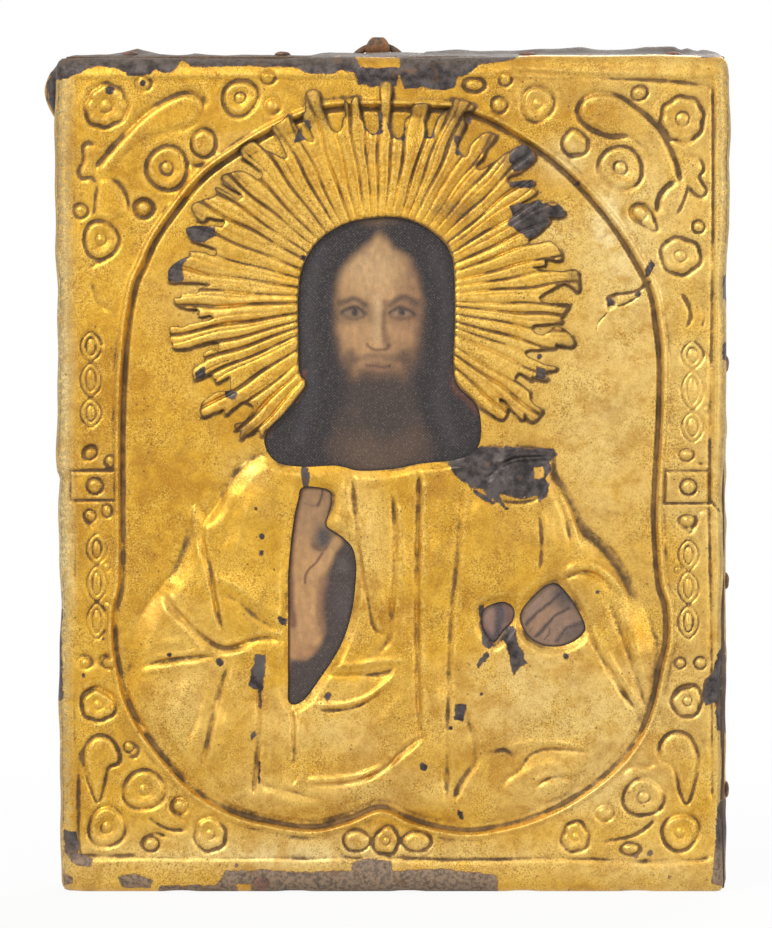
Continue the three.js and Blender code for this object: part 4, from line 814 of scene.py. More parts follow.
def relief():
    """The whole relief as rasters: height, depth inside each region, the marks of wear and dirt, painted
    shade, and the ridges that get a painted highlight
    """
    if relief_cache:
        return relief_cache
    sizes = bpy.context.scene.icon_cover
    x = np.broadcast_to(raster_x[None], (raster_rows, raster_columns))
    y = np.broadcast_to(raster_y[:, None], (raster_rows, raster_columns))
    rough = mottle(0.9, 11)
    waves = mottle(3.2, 12)
    dents = mottle(8.0, 13)

    arch = depth_in(arch_px, 6)
    robe = depth_in(robe_px, 6) + 0.12 * waves
    openings = np.maximum.reduce([depth_in(points, 4) for points in openings_px])
    rim = -depth_in(rim_inner_px, 5, smooth=False)
    share = edge_share(x, y)

    height = np.full(arch.shape, field_level)
    height += (border_level - field_level) * rise(-arch, -0.2, 1.0)
    height += (rim_level - border_level) * rise(rim + 0.15 * waves, 0.0, 1.1)
    rib = sizes.rib_height * 1000
    upper = 0.5 + 0.5 * rise(y, 92, 128)
    height += rib * np.exp(-((arch + 1.0) / 0.75) ** 2) - 0.6 * upper * np.exp(-((arch - 0.7) / 0.5) ** 2)
    height += (robe_level - field_level) * rise(robe, -0.4, 5.0) - 0.25 * np.exp(-((robe + 0.5) / 0.9) ** 2)
    height += robe_work() * sizes.fold_depth * rise(robe, -1.5, 0.6)
    height += border_work() * rise(-arch, 0.6, 1.6) * sizes.ornament_depth

    for points, depth, width, _, _ in cracks_px:
        press(height, points, depth, width)
    torn = depth_in(torn_px, 2)
    height -= 0.45 * rise(torn, -0.2, 0.5)
    for middle, radius in spots_px:
        swell(height, middle, radius * 1.1, radius * 1.1, 0, -0.12)
    swell(height, (518, 482), 24, 12, -10, 0.45)
    for points, depth, width in shoulder_folds_px:
        press(height, points, depth, width)

    quiet = 1 - 0.6 * rise(share, 1.4, 0.4)
    height += (0.05 * waves + 0.1 * dents) * quiet + 0.014 * rough
    falling = rise(-openings, -0.3, 2.6)
    height = eased(opening_level + (height - opening_level) * falling, *cover_crest)
    height = height - bend_drop(share) * rise(share, -1.0, -0.9)
    height = np.maximum(height, cover_underside + 0.25)

    nowhere = np.full_like(height, -2.0)
    bare = depth_in_any(bare_px, nowhere)
    for points in gilt_islands_px:
        bare = np.minimum(bare, -depth_in(points, 2, smooth=False))
    for middle, radius in spots_px:
        centre = spot(middle)
        bare = np.maximum(bare, np.clip(radius * across_px - np.hypot(x - centre[0], y - centre[1]), -2, 2))
    halo_bare = depth_in_any(bare_halo_px, nowhere)

    pale = np.zeros_like(height)
    for middle, wide, high, amount in pale_px:
        centre = spot(middle)
        oval = ((x - centre[0]) / (wide * across_px)) ** 2 + ((y - centre[1]) / (high * up_px)) ** 2
        pale = np.maximum(pale, amount * np.exp(-oval * 0.9))
    pale = np.clip(pale + 0.1 * dents * (pale > 0.02), 0, 1)

    narrow = blurred(height, 0.75) - height
    wide = blurred(height, 2.2) - height
    grime = np.clip(narrow / 0.2, 0, 1) * 0.7 + np.clip(wide / 0.42, 0, 1) * 0.55
    arch_dirt = np.exp(-((arch - 0.6) / 0.4) ** 2)
    grime *= 1 - 0.42 * rise(arch, -0.2, 0.6)
    grime = grime * (0.85 + 0.3 * mottle(3.5, 14) + 0.22 * mottle(1.3, 17))
    grime = grime + (0.75 * upper + 0.15) * arch_dirt
    halo = depth_in(halo_px, 4, step=0.4) + 0.1 * mottle(0.9, 21)
    grime = grime + 0.5 * np.exp(-((robe - 0.3) / 0.9) ** 2) * rise(y, 95, 115)
    for middle, wide, high, lean, amount in soiled_px:
        swell(grime, middle, wide, high, lean, amount)
    # Painted shadow of the halo plate on the cover: a dark line just outside the plate's outline, darkest
    # below it and to its right
    down, right = np.gradient(halo, raster_cell)
    shaded = 0.3 + 1.15 * rise(0.8 * down - 0.5 * right, -0.3, 0.7)
    grime += shaded * np.exp(-((halo + 0.25) / 0.6) ** 2)
    for points, _, _, amount, width in cracks_px:
        press(grime, points, -amount, width, taper=0.6, uneven=0.4)
    grime = np.clip(grime, 0, 1)
    # Ridge tops, where the lacquer gets a painted highlight
    shine = np.clip(-narrow / 0.16, 0, 1)
    slope_y, slope_x = np.gradient(blurred(height, 0.12), raster_cell)
    relief_cache.update(
        height=height, arch=arch, robe=robe, openings=openings, share=share, bare=bare, halo_bare=halo_bare,
        pale=pale, grime=grime, halo=halo, shine=shine, slope_x=slope_x, slope_y=slope_y,
    )
    return relief_cache


# Meshes from the relief

def to_frame(x, y, z):
    """Metres in the object's frame for millimetres on the face"""
    return np.stack([x, -(z + painted_plane), y], -1) / 1000


def clipped_grid(value, x, y):
    """The part of a grid where value is above zero: places, faces and the edges along the cut"""
    solid = value > 0
    node = np.full(value.shape, -1)
    node[solid] = np.arange(solid.sum())
    rows, columns = np.nonzero(solid)
    places = [np.stack([x[columns], y[rows]], -1)]
    count = len(rows)

    def crossings(first, second, low, high):
        nonlocal count
        cut = (first > 0) != (second > 0)
        r, c = np.nonzero(cut)
        t = np.clip(first[cut] / (first[cut] - second[cut]), 0.06, 0.94)[:, None]
        places.append(low(r, c) * (1 - t) + high(r, c) * t)
        found = np.full(cut.shape, -1)
        found[cut] = count + np.arange(len(r))
        count += len(r)
        return found

    across = crossings(value[:, :-1], value[:, 1:], lambda r, c: np.stack([x[c], y[r]], -1),
                       lambda r, c: np.stack([x[c + 1], y[r]], -1))
    upward = crossings(value[:-1], value[1:], lambda r, c: np.stack([x[c], y[r]], -1),
                       lambda r, c: np.stack([x[c], y[r + 1]], -1))
    corners = np.stack([node[:-1, :-1], node[:-1, 1:], node[1:, 1:], node[1:, :-1]], -1)
    edges = np.stack([across[:-1], upward[:, 1:], across[1:], upward[:, :-1]], -1)
    full = (corners >= 0).all(-1)
    quads = corners[full].tolist()
    part = (corners >= 0).any(-1) & ~full
    pieces = []
    rim = []
    for corner, edge in zip(corners[part].tolist(), edges[part].tolist()):
        face = []
        leaving = []
        for k in range(4):
            if corner[k] >= 0:
                face.append(corner[k])
            if (corner[k] >= 0) != (corner[(k + 1) % 4] >= 0):
                if corner[k] >= 0:
                    leaving.append(len(face))
                face.append(edge[k])
        pieces.append(face)
        rim.extend((face[k], face[(k + 1) % len(face)]) for k in leaving)
    return np.vstack(places), quads, pieces, rim


def cut_grid(region, spacing, before, after):
    """The part of a grid inside a region of the raster, with a margin before and after the region"""
    rows, columns = np.nonzero(region > 0)
    x = np.arange(raster_left + columns.min() * raster_cell - before,
                  raster_left + columns.max() * raster_cell + after, spacing)
    y = np.arange(raster_foot + rows.min() * raster_cell - before,
                  raster_foot + rows.max() * raster_cell + after, spacing)
    return clipped_grid(read(region, x[None] + 0 * y[:, None], y[:, None] + 0 * x[None]), x, y)


def finished(name, mesh, material, body="icon", nodes=()):
    """A piece for a mesh: its material, its body, and the nodes that it stands for"""
    piece = bpy.data.objects.new(name, mesh)
    bpy.context.scene.collection.objects.link(piece)
    mesh.materials.clear()
    mesh.materials.append(material)
    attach(piece, body)
    if nodes:
        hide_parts(*nodes)
    return piece


def add_values(mesh, **values):
    """Attributes at the points of a mesh, one number for each point"""
    for name, numbers in values.items():
        attribute = mesh.attributes.new(name, "FLOAT", "POINT")
        attribute.data.foreach_set("value", np.ascontiguousarray(numbers, np.float32))


def relief_values(mesh, x, y, layer=""):
    """The marks of wear of the relief, read at the points of a mesh"""
    marks = relief()
    bare = read(marks[layer + "bare"], x, y)
    add_values(mesh, bare=np.clip(0.5 + bare / 4, 0, 1), pale=read(marks[layer + "pale"], x, y))


def fenced_triangles(places, fence):
    """Triangles over the area to the left of a fence of directed edges, holes left open"""
    filled = delaunay_2d_cdt([Vector(p) for p in places.tolist()], fence, [], 1, 1e-6)
    if len(filled[0]) != len(places):
        raise RuntimeError(f"{len(filled[0]) - len(places)} places were added or lost along a cut")
    order = [given[0] for given in filled[3]]
    faces = [tuple(order[k] for k in face) for face in filled[2]]
    walls = set(fence)
    beside = {edge: number for number, face in enumerate(faces) for edge in zip(face, face[1:] + face[:1])}
    kept = {number for edge, number in beside.items() if edge in walls}
    waiting = list(kept)
    while waiting:
        face = faces[waiting.pop()]
        for a, b in zip(face, face[1:] + face[:1]):
            number = None if (a, b) in walls else beside.get((b, a))
            if number is not None and number not in kept:
                kept.add(number)
                waiting.append(number)
    return [faces[number] for number in sorted(kept)]


def backed_mesh(name, places, height, faces, rim, underside):
    """A closed mesh of faces over the places, walls down the rim and a flat back, and the rim's points"""
    below = {}
    for start, _ in rim:
        below[start] = len(places) + len(below)
    for _, end in rim:
        below.setdefault(end, len(places) + len(below))
    ring = np.array(list(below))
    walls = [(end, start, below[start], below[end]) for start, end in rim]
    local = {top_index: k for k, top_index in enumerate(below)}
    filled = fenced_triangles(places[ring], [(local[start], local[end]) for start, end in rim])
    back = [tuple(len(places) + k for k in reversed(face)) for face in filled]
    points = np.vstack([
        to_frame(places[:, 0], places[:, 1], height),
        to_frame(places[ring, 0], places[ring, 1], np.full(len(ring), underside)),
    ])
    mesh = bpy.data.meshes.new(name)
    mesh.from_pydata(points.tolist(), [], faces + walls + back)
    return mesh, ring


def stamped_piece(name, region, spacing, nodes=(), layer="", underside=cover_underside, material=None):
    """A closed piece of the cover: its relief on top, straight cuts round it and a flat underside"""
    marks = relief()
    places, quads, pieces, rim = cut_grid(region, spacing, spacing, 2 * spacing)
    top = read(marks[layer + "height"], places[:, 0], places[:, 1])
    mesh, ring = backed_mesh(name, places, top, quads + pieces, rim, underside)
    every = np.vstack([places, places[ring]])
    relief_values(mesh, every[:, 0], every[:, 1], layer)
    add_values(mesh, grime=read(marks[layer + "grime"], every[:, 0], every[:, 1]),
               shine=read(marks[layer + "shine"], every[:, 0], every[:, 1]))
    shade_from_relief(mesh, len(quads) + len(pieces), layer)
    return finished(name, mesh, material or gilt_material(), nodes=nodes)


def shade_from_relief(mesh, top_faces, layer):
    """Let the faces on top take their shading from the fine relief, so that pieces meet without a seam"""
    marks = relief()
    mesh.update()
    totals = np.zeros(len(mesh.polygons), int)
    mesh.polygons.foreach_get("loop_total", totals)
    corner_points = np.zeros(len(mesh.loops), int)
    mesh.loops.foreach_get("vertex_index", corner_points)
    flat = np.zeros(len(mesh.polygons) * 3)
    mesh.polygons.foreach_get("normal", flat)
    normals = np.repeat(flat.reshape(-1, 3), totals, axis=0)
    points = np.zeros(len(mesh.vertices) * 3)
    mesh.vertices.foreach_get("co", points)
    points = points.reshape(-1, 3)
    x = points[:, 0] * 1000
    y = points[:, 2] * 1000
    soft = np.stack([-read(marks[layer + "slope_x"], x, y), -np.ones(len(x)),
                     -read(marks[layer + "slope_y"], x, y)], -1)
    soft /= np.linalg.norm(soft, axis=1)[:, None]
    count = totals[:top_faces].sum()
    normals[:count] = soft[corner_points[:count]]
    mesh.polygons.foreach_set("use_smooth", np.ones(len(mesh.polygons), bool))
    mesh.normals_split_custom_set(normals.tolist())


# The bent edge and the folded skirt of the cover

skirt_back = -14.0
skirt_sheet = 0.5
left_limit = -93.6
right_limit = 88.95
nail_depth = -7.0
side_nail_heights = (26.6, 82.1, 139.7, 195.2)
top_nail_places = (-70.3, -29.9, 35.2, 73.8)
bottom_nail_place = (-35.1, -12.3, 2.5)
hanger_nail_places = [(-7.57, 12.1, 203.8), (-1.57, 12.1, 203.8)]

# Beside the hanger's strap the skirt stands no higher than this
strap_left = -17
strap_right = 8
strap_notch = 223.2
camera_height = 113.1
camera_distance = 1020.0


def edge_rays():
    """Rays from inside the rim out to the edge of the cover, all the way round: starts and directions"""
    inset = 8.0
    half = cover_width / 2 - inset
    top = cover_height - inset
    corners = np.array([(-half, inset), (half, inset), (half, top), (-half, top)])
    starts = []
    directions = []
    for k in range(4):
        a = corners[k]
        b = corners[(k + 1) % 4]
        turn = -90 + 90 * k
        out = np.array([math.cos(math.radians(turn)), math.sin(math.radians(turn))])
        count = int(np.hypot(*(b - a)) / 0.85)
        for step in range(count):
            starts.append(a + (b - a) * step / count)
            directions.append(out)
        for step in range(14):
            angle = math.radians(turn + 90 * step / 14)
            starts.append(b)
            directions.append(np.array([math.cos(angle), math.sin(angle)]))
    return np.array(starts), np.array(directions)


def walk_out(starts, directions, value, target):
    """Where along each ray a value that falls outwards reaches its target"""
    low = np.zeros(len(starts))
    high = np.full(len(starts), 16.0)
    for _ in range(36):
        middle = (low + high) / 2
        p = starts + directions * middle[:, None]
        above = value(p[:, 0], p[:, 1]) > target
        low = np.where(above, middle, low)
        high = np.where(above, high, middle)
    return starts + directions * low[:, None]


def plain_edge(x, y):
    """Depth inside the plain rounded rectangle that the skirt is folded to"""
    radius = 3.0
    qx = np.abs(x) - cover_width / 2 + radius
    qy = np.abs(y - cover_height / 2) - cover_height / 2 + radius
    return radius - np.hypot(np.maximum(qx, 0), np.maximum(qy, 0)) - np.minimum(np.maximum(qx, qy), 0)


def skirt_flare(directions, edge):
    """How far the back edge of the skirt stands out at each ray"""
    x = edge[:, 0]
    y = edge[:, 1]
    stands = table_value(top_fold_px, x, horizontal=True)
    stands = camera_height + (stands - camera_height) * (1 + (painted_plane + 3.0) / camera_distance)
    stands = np.where((x > strap_left) & (x < strap_right), np.minimum(stands, strap_notch), stands)
    top = np.clip(stands - cover_height, 0, 2.9) * rise(directions[:, 1], 0.5, 1)
    side = 0.35 + 0.3 * np.sin(y * 0.21 + 1) + 0.2 * np.sin(y * 0.53)
    side = side * rise(np.abs(directions[:, 0]), 0.5, 1)
    foot = -(0.25 + 0.2 * np.sin(x * 0.17) + 0.15 * np.sin(x * 0.49 + 2))
    foot = foot * rise(-directions[:, 1], 0.5, 1)
    return top + side + foot


def near_nails(x, y, z):
    """1 at a nail through the skirt, fading away from it"""
    share = np.zeros(len(x))
    for height in side_nail_heights:
        away = np.hypot(y - height, z - nail_depth) + 99 * (np.abs(x) < 80)
        share = np.maximum(share, np.exp(-(away / 3.4) ** 2))
    for place in top_nail_places:
        away = np.hypot(x - place, z - nail_depth) + 99 * (y < 200)
        share = np.maximum(share, np.exp(-(away / 3.4) ** 2))
    return share


def cover_edge():
    """The bend round the front and the skirt folded over the panel's edges, as one closed ring"""
    marks = relief()
    starts, directions = edge_rays()
    count = len(starts)
    first = walk_out(starts, directions, edge_share, bend_start + 0.03)
    high = read(marks["height"], first[:, 0], first[:, 1]) + bend_drop(bend_start + 0.03)
    rings = []
    for share in (bend_start + 0.03, 0.27, 0.21, 0.155, 0.11, 0.07, 0.04, 0.015, 0.0):
        place = walk_out(starts, directions, edge_share, share)
        z = high - bend_drop(share) - (0.02 if share > bend_start else 0)
        rings.append(np.column_stack([place, z]))
    edge = rings[-1][:, :2]
    start_z = rings[-1][:, 2]
    plain = walk_out(starts, directions, plain_edge, 0.0)
    flare = skirt_flare(directions, edge)
    random = np.random.default_rng(5)
    bumps = np.convolve(np.tile(random.standard_normal(count), 3), np.hanning(13), "same")
    bumps = bumps[count:2 * count] * 0.05
    for part in (0.08, 0.17, 0.27, 0.38, 0.5, 0.62, 0.74, 0.86, 0.94, 1.0):
        z = start_z + (skirt_back - start_z) * part
        fallen = start_z - z
        held = near_nails(plain[:, 0], plain[:, 1], z)
        place = edge + (plain - edge) * rise(fallen, -0.5, 4.2)[:, None]
        out = (flare * rise(fallen, 2.5, 11.5) + bumps * rise(fallen, 0, 6)) * (1 - held)
        out = out + 0.12 * np.exp(-((fallen - 1.8) / 1.2) ** 2)
        uneven = 0.35 * np.sin(plain[:, 0] * 0.23 + plain[:, 1] * 0.19) * (part == 1.0)
        rings.append(np.column_stack([place + directions * out[:, None], z + uneven]))
    outer = len(rings)
    for k, inward in ((outer - 1, skirt_sheet), (outer - 5, skirt_sheet), (outer - 10, skirt_sheet)):
        ring = rings[k].copy()
        ring[:, :2] -= directions * inward
        rings.append(ring)
    rings.append(np.column_stack([first, np.full(count, cover_underside)]))
    points = np.vstack(rings)
    points[:, 0] = np.clip(points[:, 0], left_limit, right_limit)
    points[:, 1] = np.maximum(points[:, 1], 0.0)
    faces = [(a, d, c, b) for a, b, c, d in band_faces(len(rings), count, closed=True)]
    mesh = bpy.data.meshes.new("cover_edge")
    mesh.from_pydata(to_frame(points[:, 0], points[:, 1], points[:, 2]).tolist(), [], faces)
    x = points[:, 0]
    y = points[:, 1]
    relief_values(mesh, x, y)
    back = rise(-points[:, 2], 1.5, 8)
    on_top = np.tile(directions[:, 1] > 0.5, len(rings))
    dull = np.where(on_top, rise(-points[:, 2], 2.0, 4.5), 0.3 * back)
    bare = np.zeros(len(x))
    mesh.attributes["bare"].data.foreach_get("value", bare)
    bare = np.maximum(bare, 0.5 + 0.35 * (dull - 0.4)).astype(np.float32)
    mesh.attributes["bare"].data.foreach_set("value", bare)
    # Darker towards the back of the skirt and round the nails, with a faint even painted highlight
    grime = 0.25 * back + 0.35 * near_nails(x, y, points[:, 2])
    add_values(mesh, grime=grime, shine=np.tile(0.2, len(x)))
    mesh.polygons.foreach_set("use_smooth", np.ones(len(faces), bool))
    sharp = np.zeros(len(mesh.edges), bool)
    ends = np.zeros(len(mesh.edges) * 2, int)
    mesh.edges.foreach_get("vertices", ends)
    ends = ends.reshape(-1, 2) // count
    for ring in (0, outer - 1, outer, len(rings) - 1):
        sharp |= (ends == ring).all(1)
    mesh.attributes.new("sharp_edge", "BOOLEAN", "EDGE").data.foreach_set("value", sharp)
    return finished("cover_edge", mesh, gilt_material(), nodes=("cover_sheet",))


def band_faces(rows, around, closed=False):
    """Faces between rows of points that run round, and from the last row to the first where closed"""
    faces = []
    for k in range(rows if closed else rows - 1):
        a = k * around
        b = (k + 1) % rows * around
        for i in range(around):
            j = (i + 1) % around
            faces.append((a + i, a + j, b + j, b + i))
    return faces


def sheet_faces(rows, columns):
    """Faces of an open grid of points"""
    firsts = [r * columns + c for r in range(rows - 1) for c in range(columns - 1)]
    return [(k, k + 1, k + columns + 1, k + columns) for k in firsts]


def slab_mesh(name, top, faces, bottom):
    """A closed sheet: faces over the top points, the same under the bottom points, and the walls"""
    count = len(top)
    used = {}
    for face in faces:
        for a, b in zip(face, face[1:] + face[:1]):
            used[(a, b)] = True
    rim = [(a, b) for a, b in used if (b, a) not in used]
    under = [tuple(count + k for k in reversed(face)) for face in faces]
    walls = [(b, a, count + a, count + b) for a, b in rim]
    mesh = bpy.data.meshes.new(name)
    mesh.from_pydata(np.vstack([top, bottom]).tolist(), [], list(faces) + under + walls)
    mesh.validate()
    return mesh


def smooth_shaded(mesh, angle=40):
    """Smooth shading but for edges sharper than the angle, in degrees"""
    mesh.polygons.foreach_set("use_smooth", np.ones(len(mesh.polygons), bool))
    mesh.set_sharp_from_angle(angle=math.radians(angle))


def corner_fold():
    """The corner of the sheet that stands out at the upper left, bent back"""
    inner = smooth_line(spot([(60, 58), (59, 66), (58, 80), (57, 96), (57, 108), (58, 120)]), 1.0)
    outer = smooth_line(spot([(56, 61), (51, 67), (46.5, 73), (42, 88), (46, 104), (56, 121)]), 0.6)
    rows = 30
    columns = 12
    way = np.linspace(0, 1, rows)
    a = np.stack([np.interp(way, np.linspace(0, 1, len(inner)), inner[:, k]) for k in (0, 1)], -1)
    b = np.stack([np.interp(way, np.linspace(0, 1, len(outer)), outer[:, k]) for k in (0, 1)], -1)
    across = np.linspace(0, 1, columns)
    x = a[:, :1] + (b[:, :1] - a[:, :1]) * across
    y = a[:, 1:] + (b[:, 1:] - a[:, 1:]) * across
    z = -2.6 - 4.6 * across[None] ** 1.3
    z = z + 0.9 * np.sin(math.pi * across)[None] * np.sin(math.pi * way)[:, None]
    z = z + 0.5 * np.sin(way * 9)[:, None] * across[None] + 0.6 * (across[None] > 0.9)
    top = to_frame(x.ravel(), y.ravel(), z.ravel())
    bottom = top + np.array([0.00012, 0.0005, 0.0])
    mesh = slab_mesh("cover_corner_fold", top, sheet_faces(rows, columns), bottom)
    x = np.tile(x.ravel(), 2)
    y = np.tile(y.ravel(), 2)
    edge = np.tile(np.broadcast_to(across[None], z.shape).ravel(), 2)
    # Darker towards the crease, and paler with a painted highlight along the outer edge
    add_values(mesh, bare=0.5 + 0.4 * (0.86 - edge), pale=0.6 * rise(edge, 0.85, 1.0),
               grime=0.2 * (1 - edge), shine=rise(edge, 0.8, 1))
    turned_out(mesh)
    smooth_shaded(mesh, 60)
    return finished("cover_corner_fold", mesh, gilt_material())


# The halo plate

def halo_flutes(angle, reach):
    """The height of the flutes between the grooves, from about 0 to 1, for degrees and millimetres"""
    random = np.random.default_rng(31)
    places, depths = np.array(halo_grooves, float).T
    fine = np.arange(-60, 245, 0.05)
    crown = np.zeros(len(fine))
    middles = []
    for a, b in zip(places, places[1:]):
        t = (fine - a) / (b - a)
        inside_flute = (t >= 0) & (t <= 1)
        share = t[inside_flute]
        crown[inside_flute] = (4 * share * (1 - share)) ** 0.4 * min(1, 0.45 + 0.1 * (b - a))
        if b - a > 4.2:
            middles.append((a + (b - a) * random.uniform(0.25, 0.75), random.uniform(0.2, 0.5)))
    height = np.interp(angle, fine, crown)
    for marks, width in ((zip(places, depths), 0.4), (middles, 0.3)):
        for place, depth in marks:
            away = np.radians(angle - place) * reach
            near = np.abs(away) < 4 * width
            height[near] -= 0.7 * depth * np.exp(-(away[near] / width) ** 2)
    return height


def halo_relief():
    """The halo plate's region and its relief, added to the cover's rasters"""
    marks = relief()
    if "halo_height" in marks:
        return marks
    sizes = bpy.context.scene.icon_halo
    region = np.minimum(marks["halo"], -depth_in(head_px, 4) - 0.05)
    centre = spot(halo_centre_px)
    dx = raster_x[None] - centre[0]
    dy = raster_y[:, None] - centre[1]
    reach = np.hypot(dx, dy)
    angle = np.degrees(np.arctan2(dy, dx))
    angle = np.where(angle < -90, angle + 360, angle)
    angle = angle + 0.5 * np.sin(reach * 0.3 + 6 * np.sin(np.radians(angle) * 5)) * rise(reach, 20, 45)
    flutes = halo_flutes(angle, reach)
    browned = np.exp(-((angle - 52) / 24) ** 2) * rise(reach, 54, 40)
    strength = sizes.flute_height * 1000 * (0.42 + 0.58 * rise(reach, 16, 36))
    strength = strength * (1 + 0.25 * mottle(6.0, 25)) * (1 - 0.55 * browned)
    bed = marks["height"].copy()
    for shift in (-6, -3, 3, 6):
        bed = np.maximum(bed, np.maximum(np.roll(bed, shift, 0), np.roll(bed, shift, 1)))
    bed = np.maximum(blurred(bed, 1.4), 1.25)
    height = bed + sizes.lift * 1000 + sizes.sheet * 1000 + strength * (flutes - 0.35)
    height += 0.1 * mottle(4.0, 22) + 0.025 * mottle(0.7, 23)
    height -= 0.3 * np.exp(-(np.maximum(region, 0) / 0.5) ** 2)
    height = eased(np.maximum(height, halo_underside + 0.45), *halo_crest)
    narrow = blurred(height, 0.7) - height
    wide = blurred(height, 1.8) - height
    grime = np.clip(narrow / 0.12, 0, 1) * 0.75 + np.clip(wide / 0.3, 0, 1) * 0.35
    # Dark brown in the flutes' grooves, and a painted shadow line along the inside of the plate's edge
    grime = grime * (0.8 + 0.4 * mottle(2.5, 24)) + 0.75 * np.exp(-(np.maximum(region, 0) / 0.3) ** 2)
    tips = rise(reach + 2.5 * mottle(3.0, 27), 45, 55)
    grime += 0.33 * browned * (1 + 0.45 * mottle(2.0, 26)) + 0.55 * tips
    grime = np.clip(grime, 0, 1)
    slope_y, slope_x = np.gradient(blurred(height, 0.12), raster_cell)
    # halo_shine marks the flutes' crowns, where the lacquer gets a painted highlight
    marks.update(halo=region, halo_height=height, halo_grime=grime, halo_shine=np.clip(-narrow / 0.1, 0, 1),
                 halo_slope_x=slope_x, halo_slope_y=slope_y, halo_pale=0.45 * marks["pale"])
    return marks


def grown_by_nodes(name, mesh, tree, **values):
    """The plain mesh that a tree of nodes grows from a mesh, with the tree's inputs set by name"""
    carrier = bpy.data.objects.new(name, mesh)
    bpy.context.scene.collection.objects.link(carrier)
    modifier = carrier.modifiers.new("grow", "NODES")
    modifier.node_group = tree
    for item in tree.interface.items_tree:
        if item.item_type == "SOCKET" and item.in_out == "INPUT" and item.name in values:
            modifier[item.identifier] = values[item.name]
    bpy.context.view_layer.update()
    evaluated = carrier.evaluated_get(bpy.context.evaluated_depsgraph_get())
    grown = bpy.data.meshes.new_from_object(evaluated)
    grown.name = name
    bpy.data.objects.remove(carrier)
    bpy.data.meshes.remove(mesh)
    if not grown.polygons:
        raise RuntimeError(f"the nodes made nothing for {name}")
    return grown


# Materials

class Nodes:
    """A tree of nodes under way"""

    def __init__(self, tree):
        self.tree = tree
        tree.nodes.clear()

    def add(self, kind, inputs=None, **settings):
        """A new node with its settings and inputs: each input a value or another node's output"""
        node = self.tree.nodes.new(kind)
        for name, value in settings.items():
            setattr(node, name, value)
        for name, value in (inputs or {}).items():
            self.set(node.inputs[name], value)
        return node

    def set(self, socket, value):
        """Link an output to a socket, or give the socket a value"""
        if isinstance(value, bpy.types.NodeSocket):
            self.tree.links.new(value, socket)
        elif isinstance(value, tuple) and socket.type == "RGBA":
            socket.default_value = (*value, 1)
        else:
            socket.default_value = value

    def calc(self, operation, a, b=0.0, limit=False):
        """Two numbers in one, by an operation of the Math node"""
        return self.add("ShaderNodeMath", {0: a, 1: b}, operation=operation, use_clamp=limit).outputs[0]

    def seen(self):
        """1 where the surface itself is seen, straight, mirrored or through glass, and 0 where it lights"""
        rays = self.add("ShaderNodeLightPath").outputs
        seen = self.calc("MAXIMUM", rays["Is Camera Ray"], rays["Is Glossy Ray"])
        return self.calc("MAXIMUM", seen, rays["Is Transmission Ray"])


class Shading(Nodes):
    """A material of nodes under way: each method adds what it names and gives back its output"""

    def __init__(self, name):
        self.material = bpy.data.materials.new(name)
        self.material.use_nodes = True
        super().__init__(self.material.node_tree)
        self.place = self.add("ShaderNodeTexCoord").outputs["Object"]

    def stretched(self, scale, turn=(0, 0, 0), shift=(0, 0, 0)):
        """The place, stretched by a factor along each axis"""
        inputs = {"Vector": self.place, "Scale": scale, "Rotation": turn, "Location": shift}
        return self.add("ShaderNodeMapping", inputs).outputs[0]

    def noise(self, size, detail=3.0, roughness=0.55, place=None, warp=0.0):
        """Soft noise of about one size in millimetres"""
        inputs = {"Vector": place or self.place, "Scale": 1000 / size, "Detail": detail,
                  "Roughness": roughness, "Distortion": warp}
        return self.add("ShaderNodeTexNoise", inputs).outputs["Fac"]

    def cells(self, size, feature="F1"):
        """Cells of about one size in millimetres"""
        inputs = {"Vector": self.place, "Scale": 1000 / size}
        return self.add("ShaderNodeTexVoronoi", inputs, feature=feature).outputs["Distance"]

    def value(self, name):
        """A mesh's own attribute"""
        return self.add("ShaderNodeAttribute", attribute_name=name).outputs["Fac"]

    def times(self, a, b, limit=False):
        """The product of two numbers"""
        return self.calc("MULTIPLY", a, b, limit)

    def step(self, value, low, high, start=0.0, end=1.0):
        """A soft step of a value from low to high"""
        inputs = {"Value": value, "From Min": low, "From Max": high, "To Min": start, "To Max": end}
        return self.add("ShaderNodeMapRange", inputs, interpolation_type="SMOOTHSTEP").outputs[0]

    def blend(self, factor, a, b):
        """A colour between two"""
        return self.add("ShaderNodeMix", {0: factor, 6: a, 7: b}, data_type="RGBA").outputs[2]

    def bump(self, height, distance, strength, normal=None):
        """Small bumps with a depth in millimetres, on top of another normal's where one is given"""
        inputs = {"Height": height, "Distance": distance / 1000, "Strength": strength}
        if normal:
            inputs["Normal"] = normal
        return self.add("ShaderNodeBump", inputs).outputs[0]

    def done(self, **sockets):
        """The finished material, with the given values on its shader's sockets"""
        names = {"colour": "Base Color", "rough": "Roughness", "metal": "Metallic", "normal": "Normal",
                 "specular": "Specular IOR Level"}
        shader = self.add("ShaderNodeBsdfPrincipled", {names[k]: v for k, v in sockets.items()})
        self.add("ShaderNodeOutputMaterial", {"Surface": shader.outputs[0]})
        return self.material


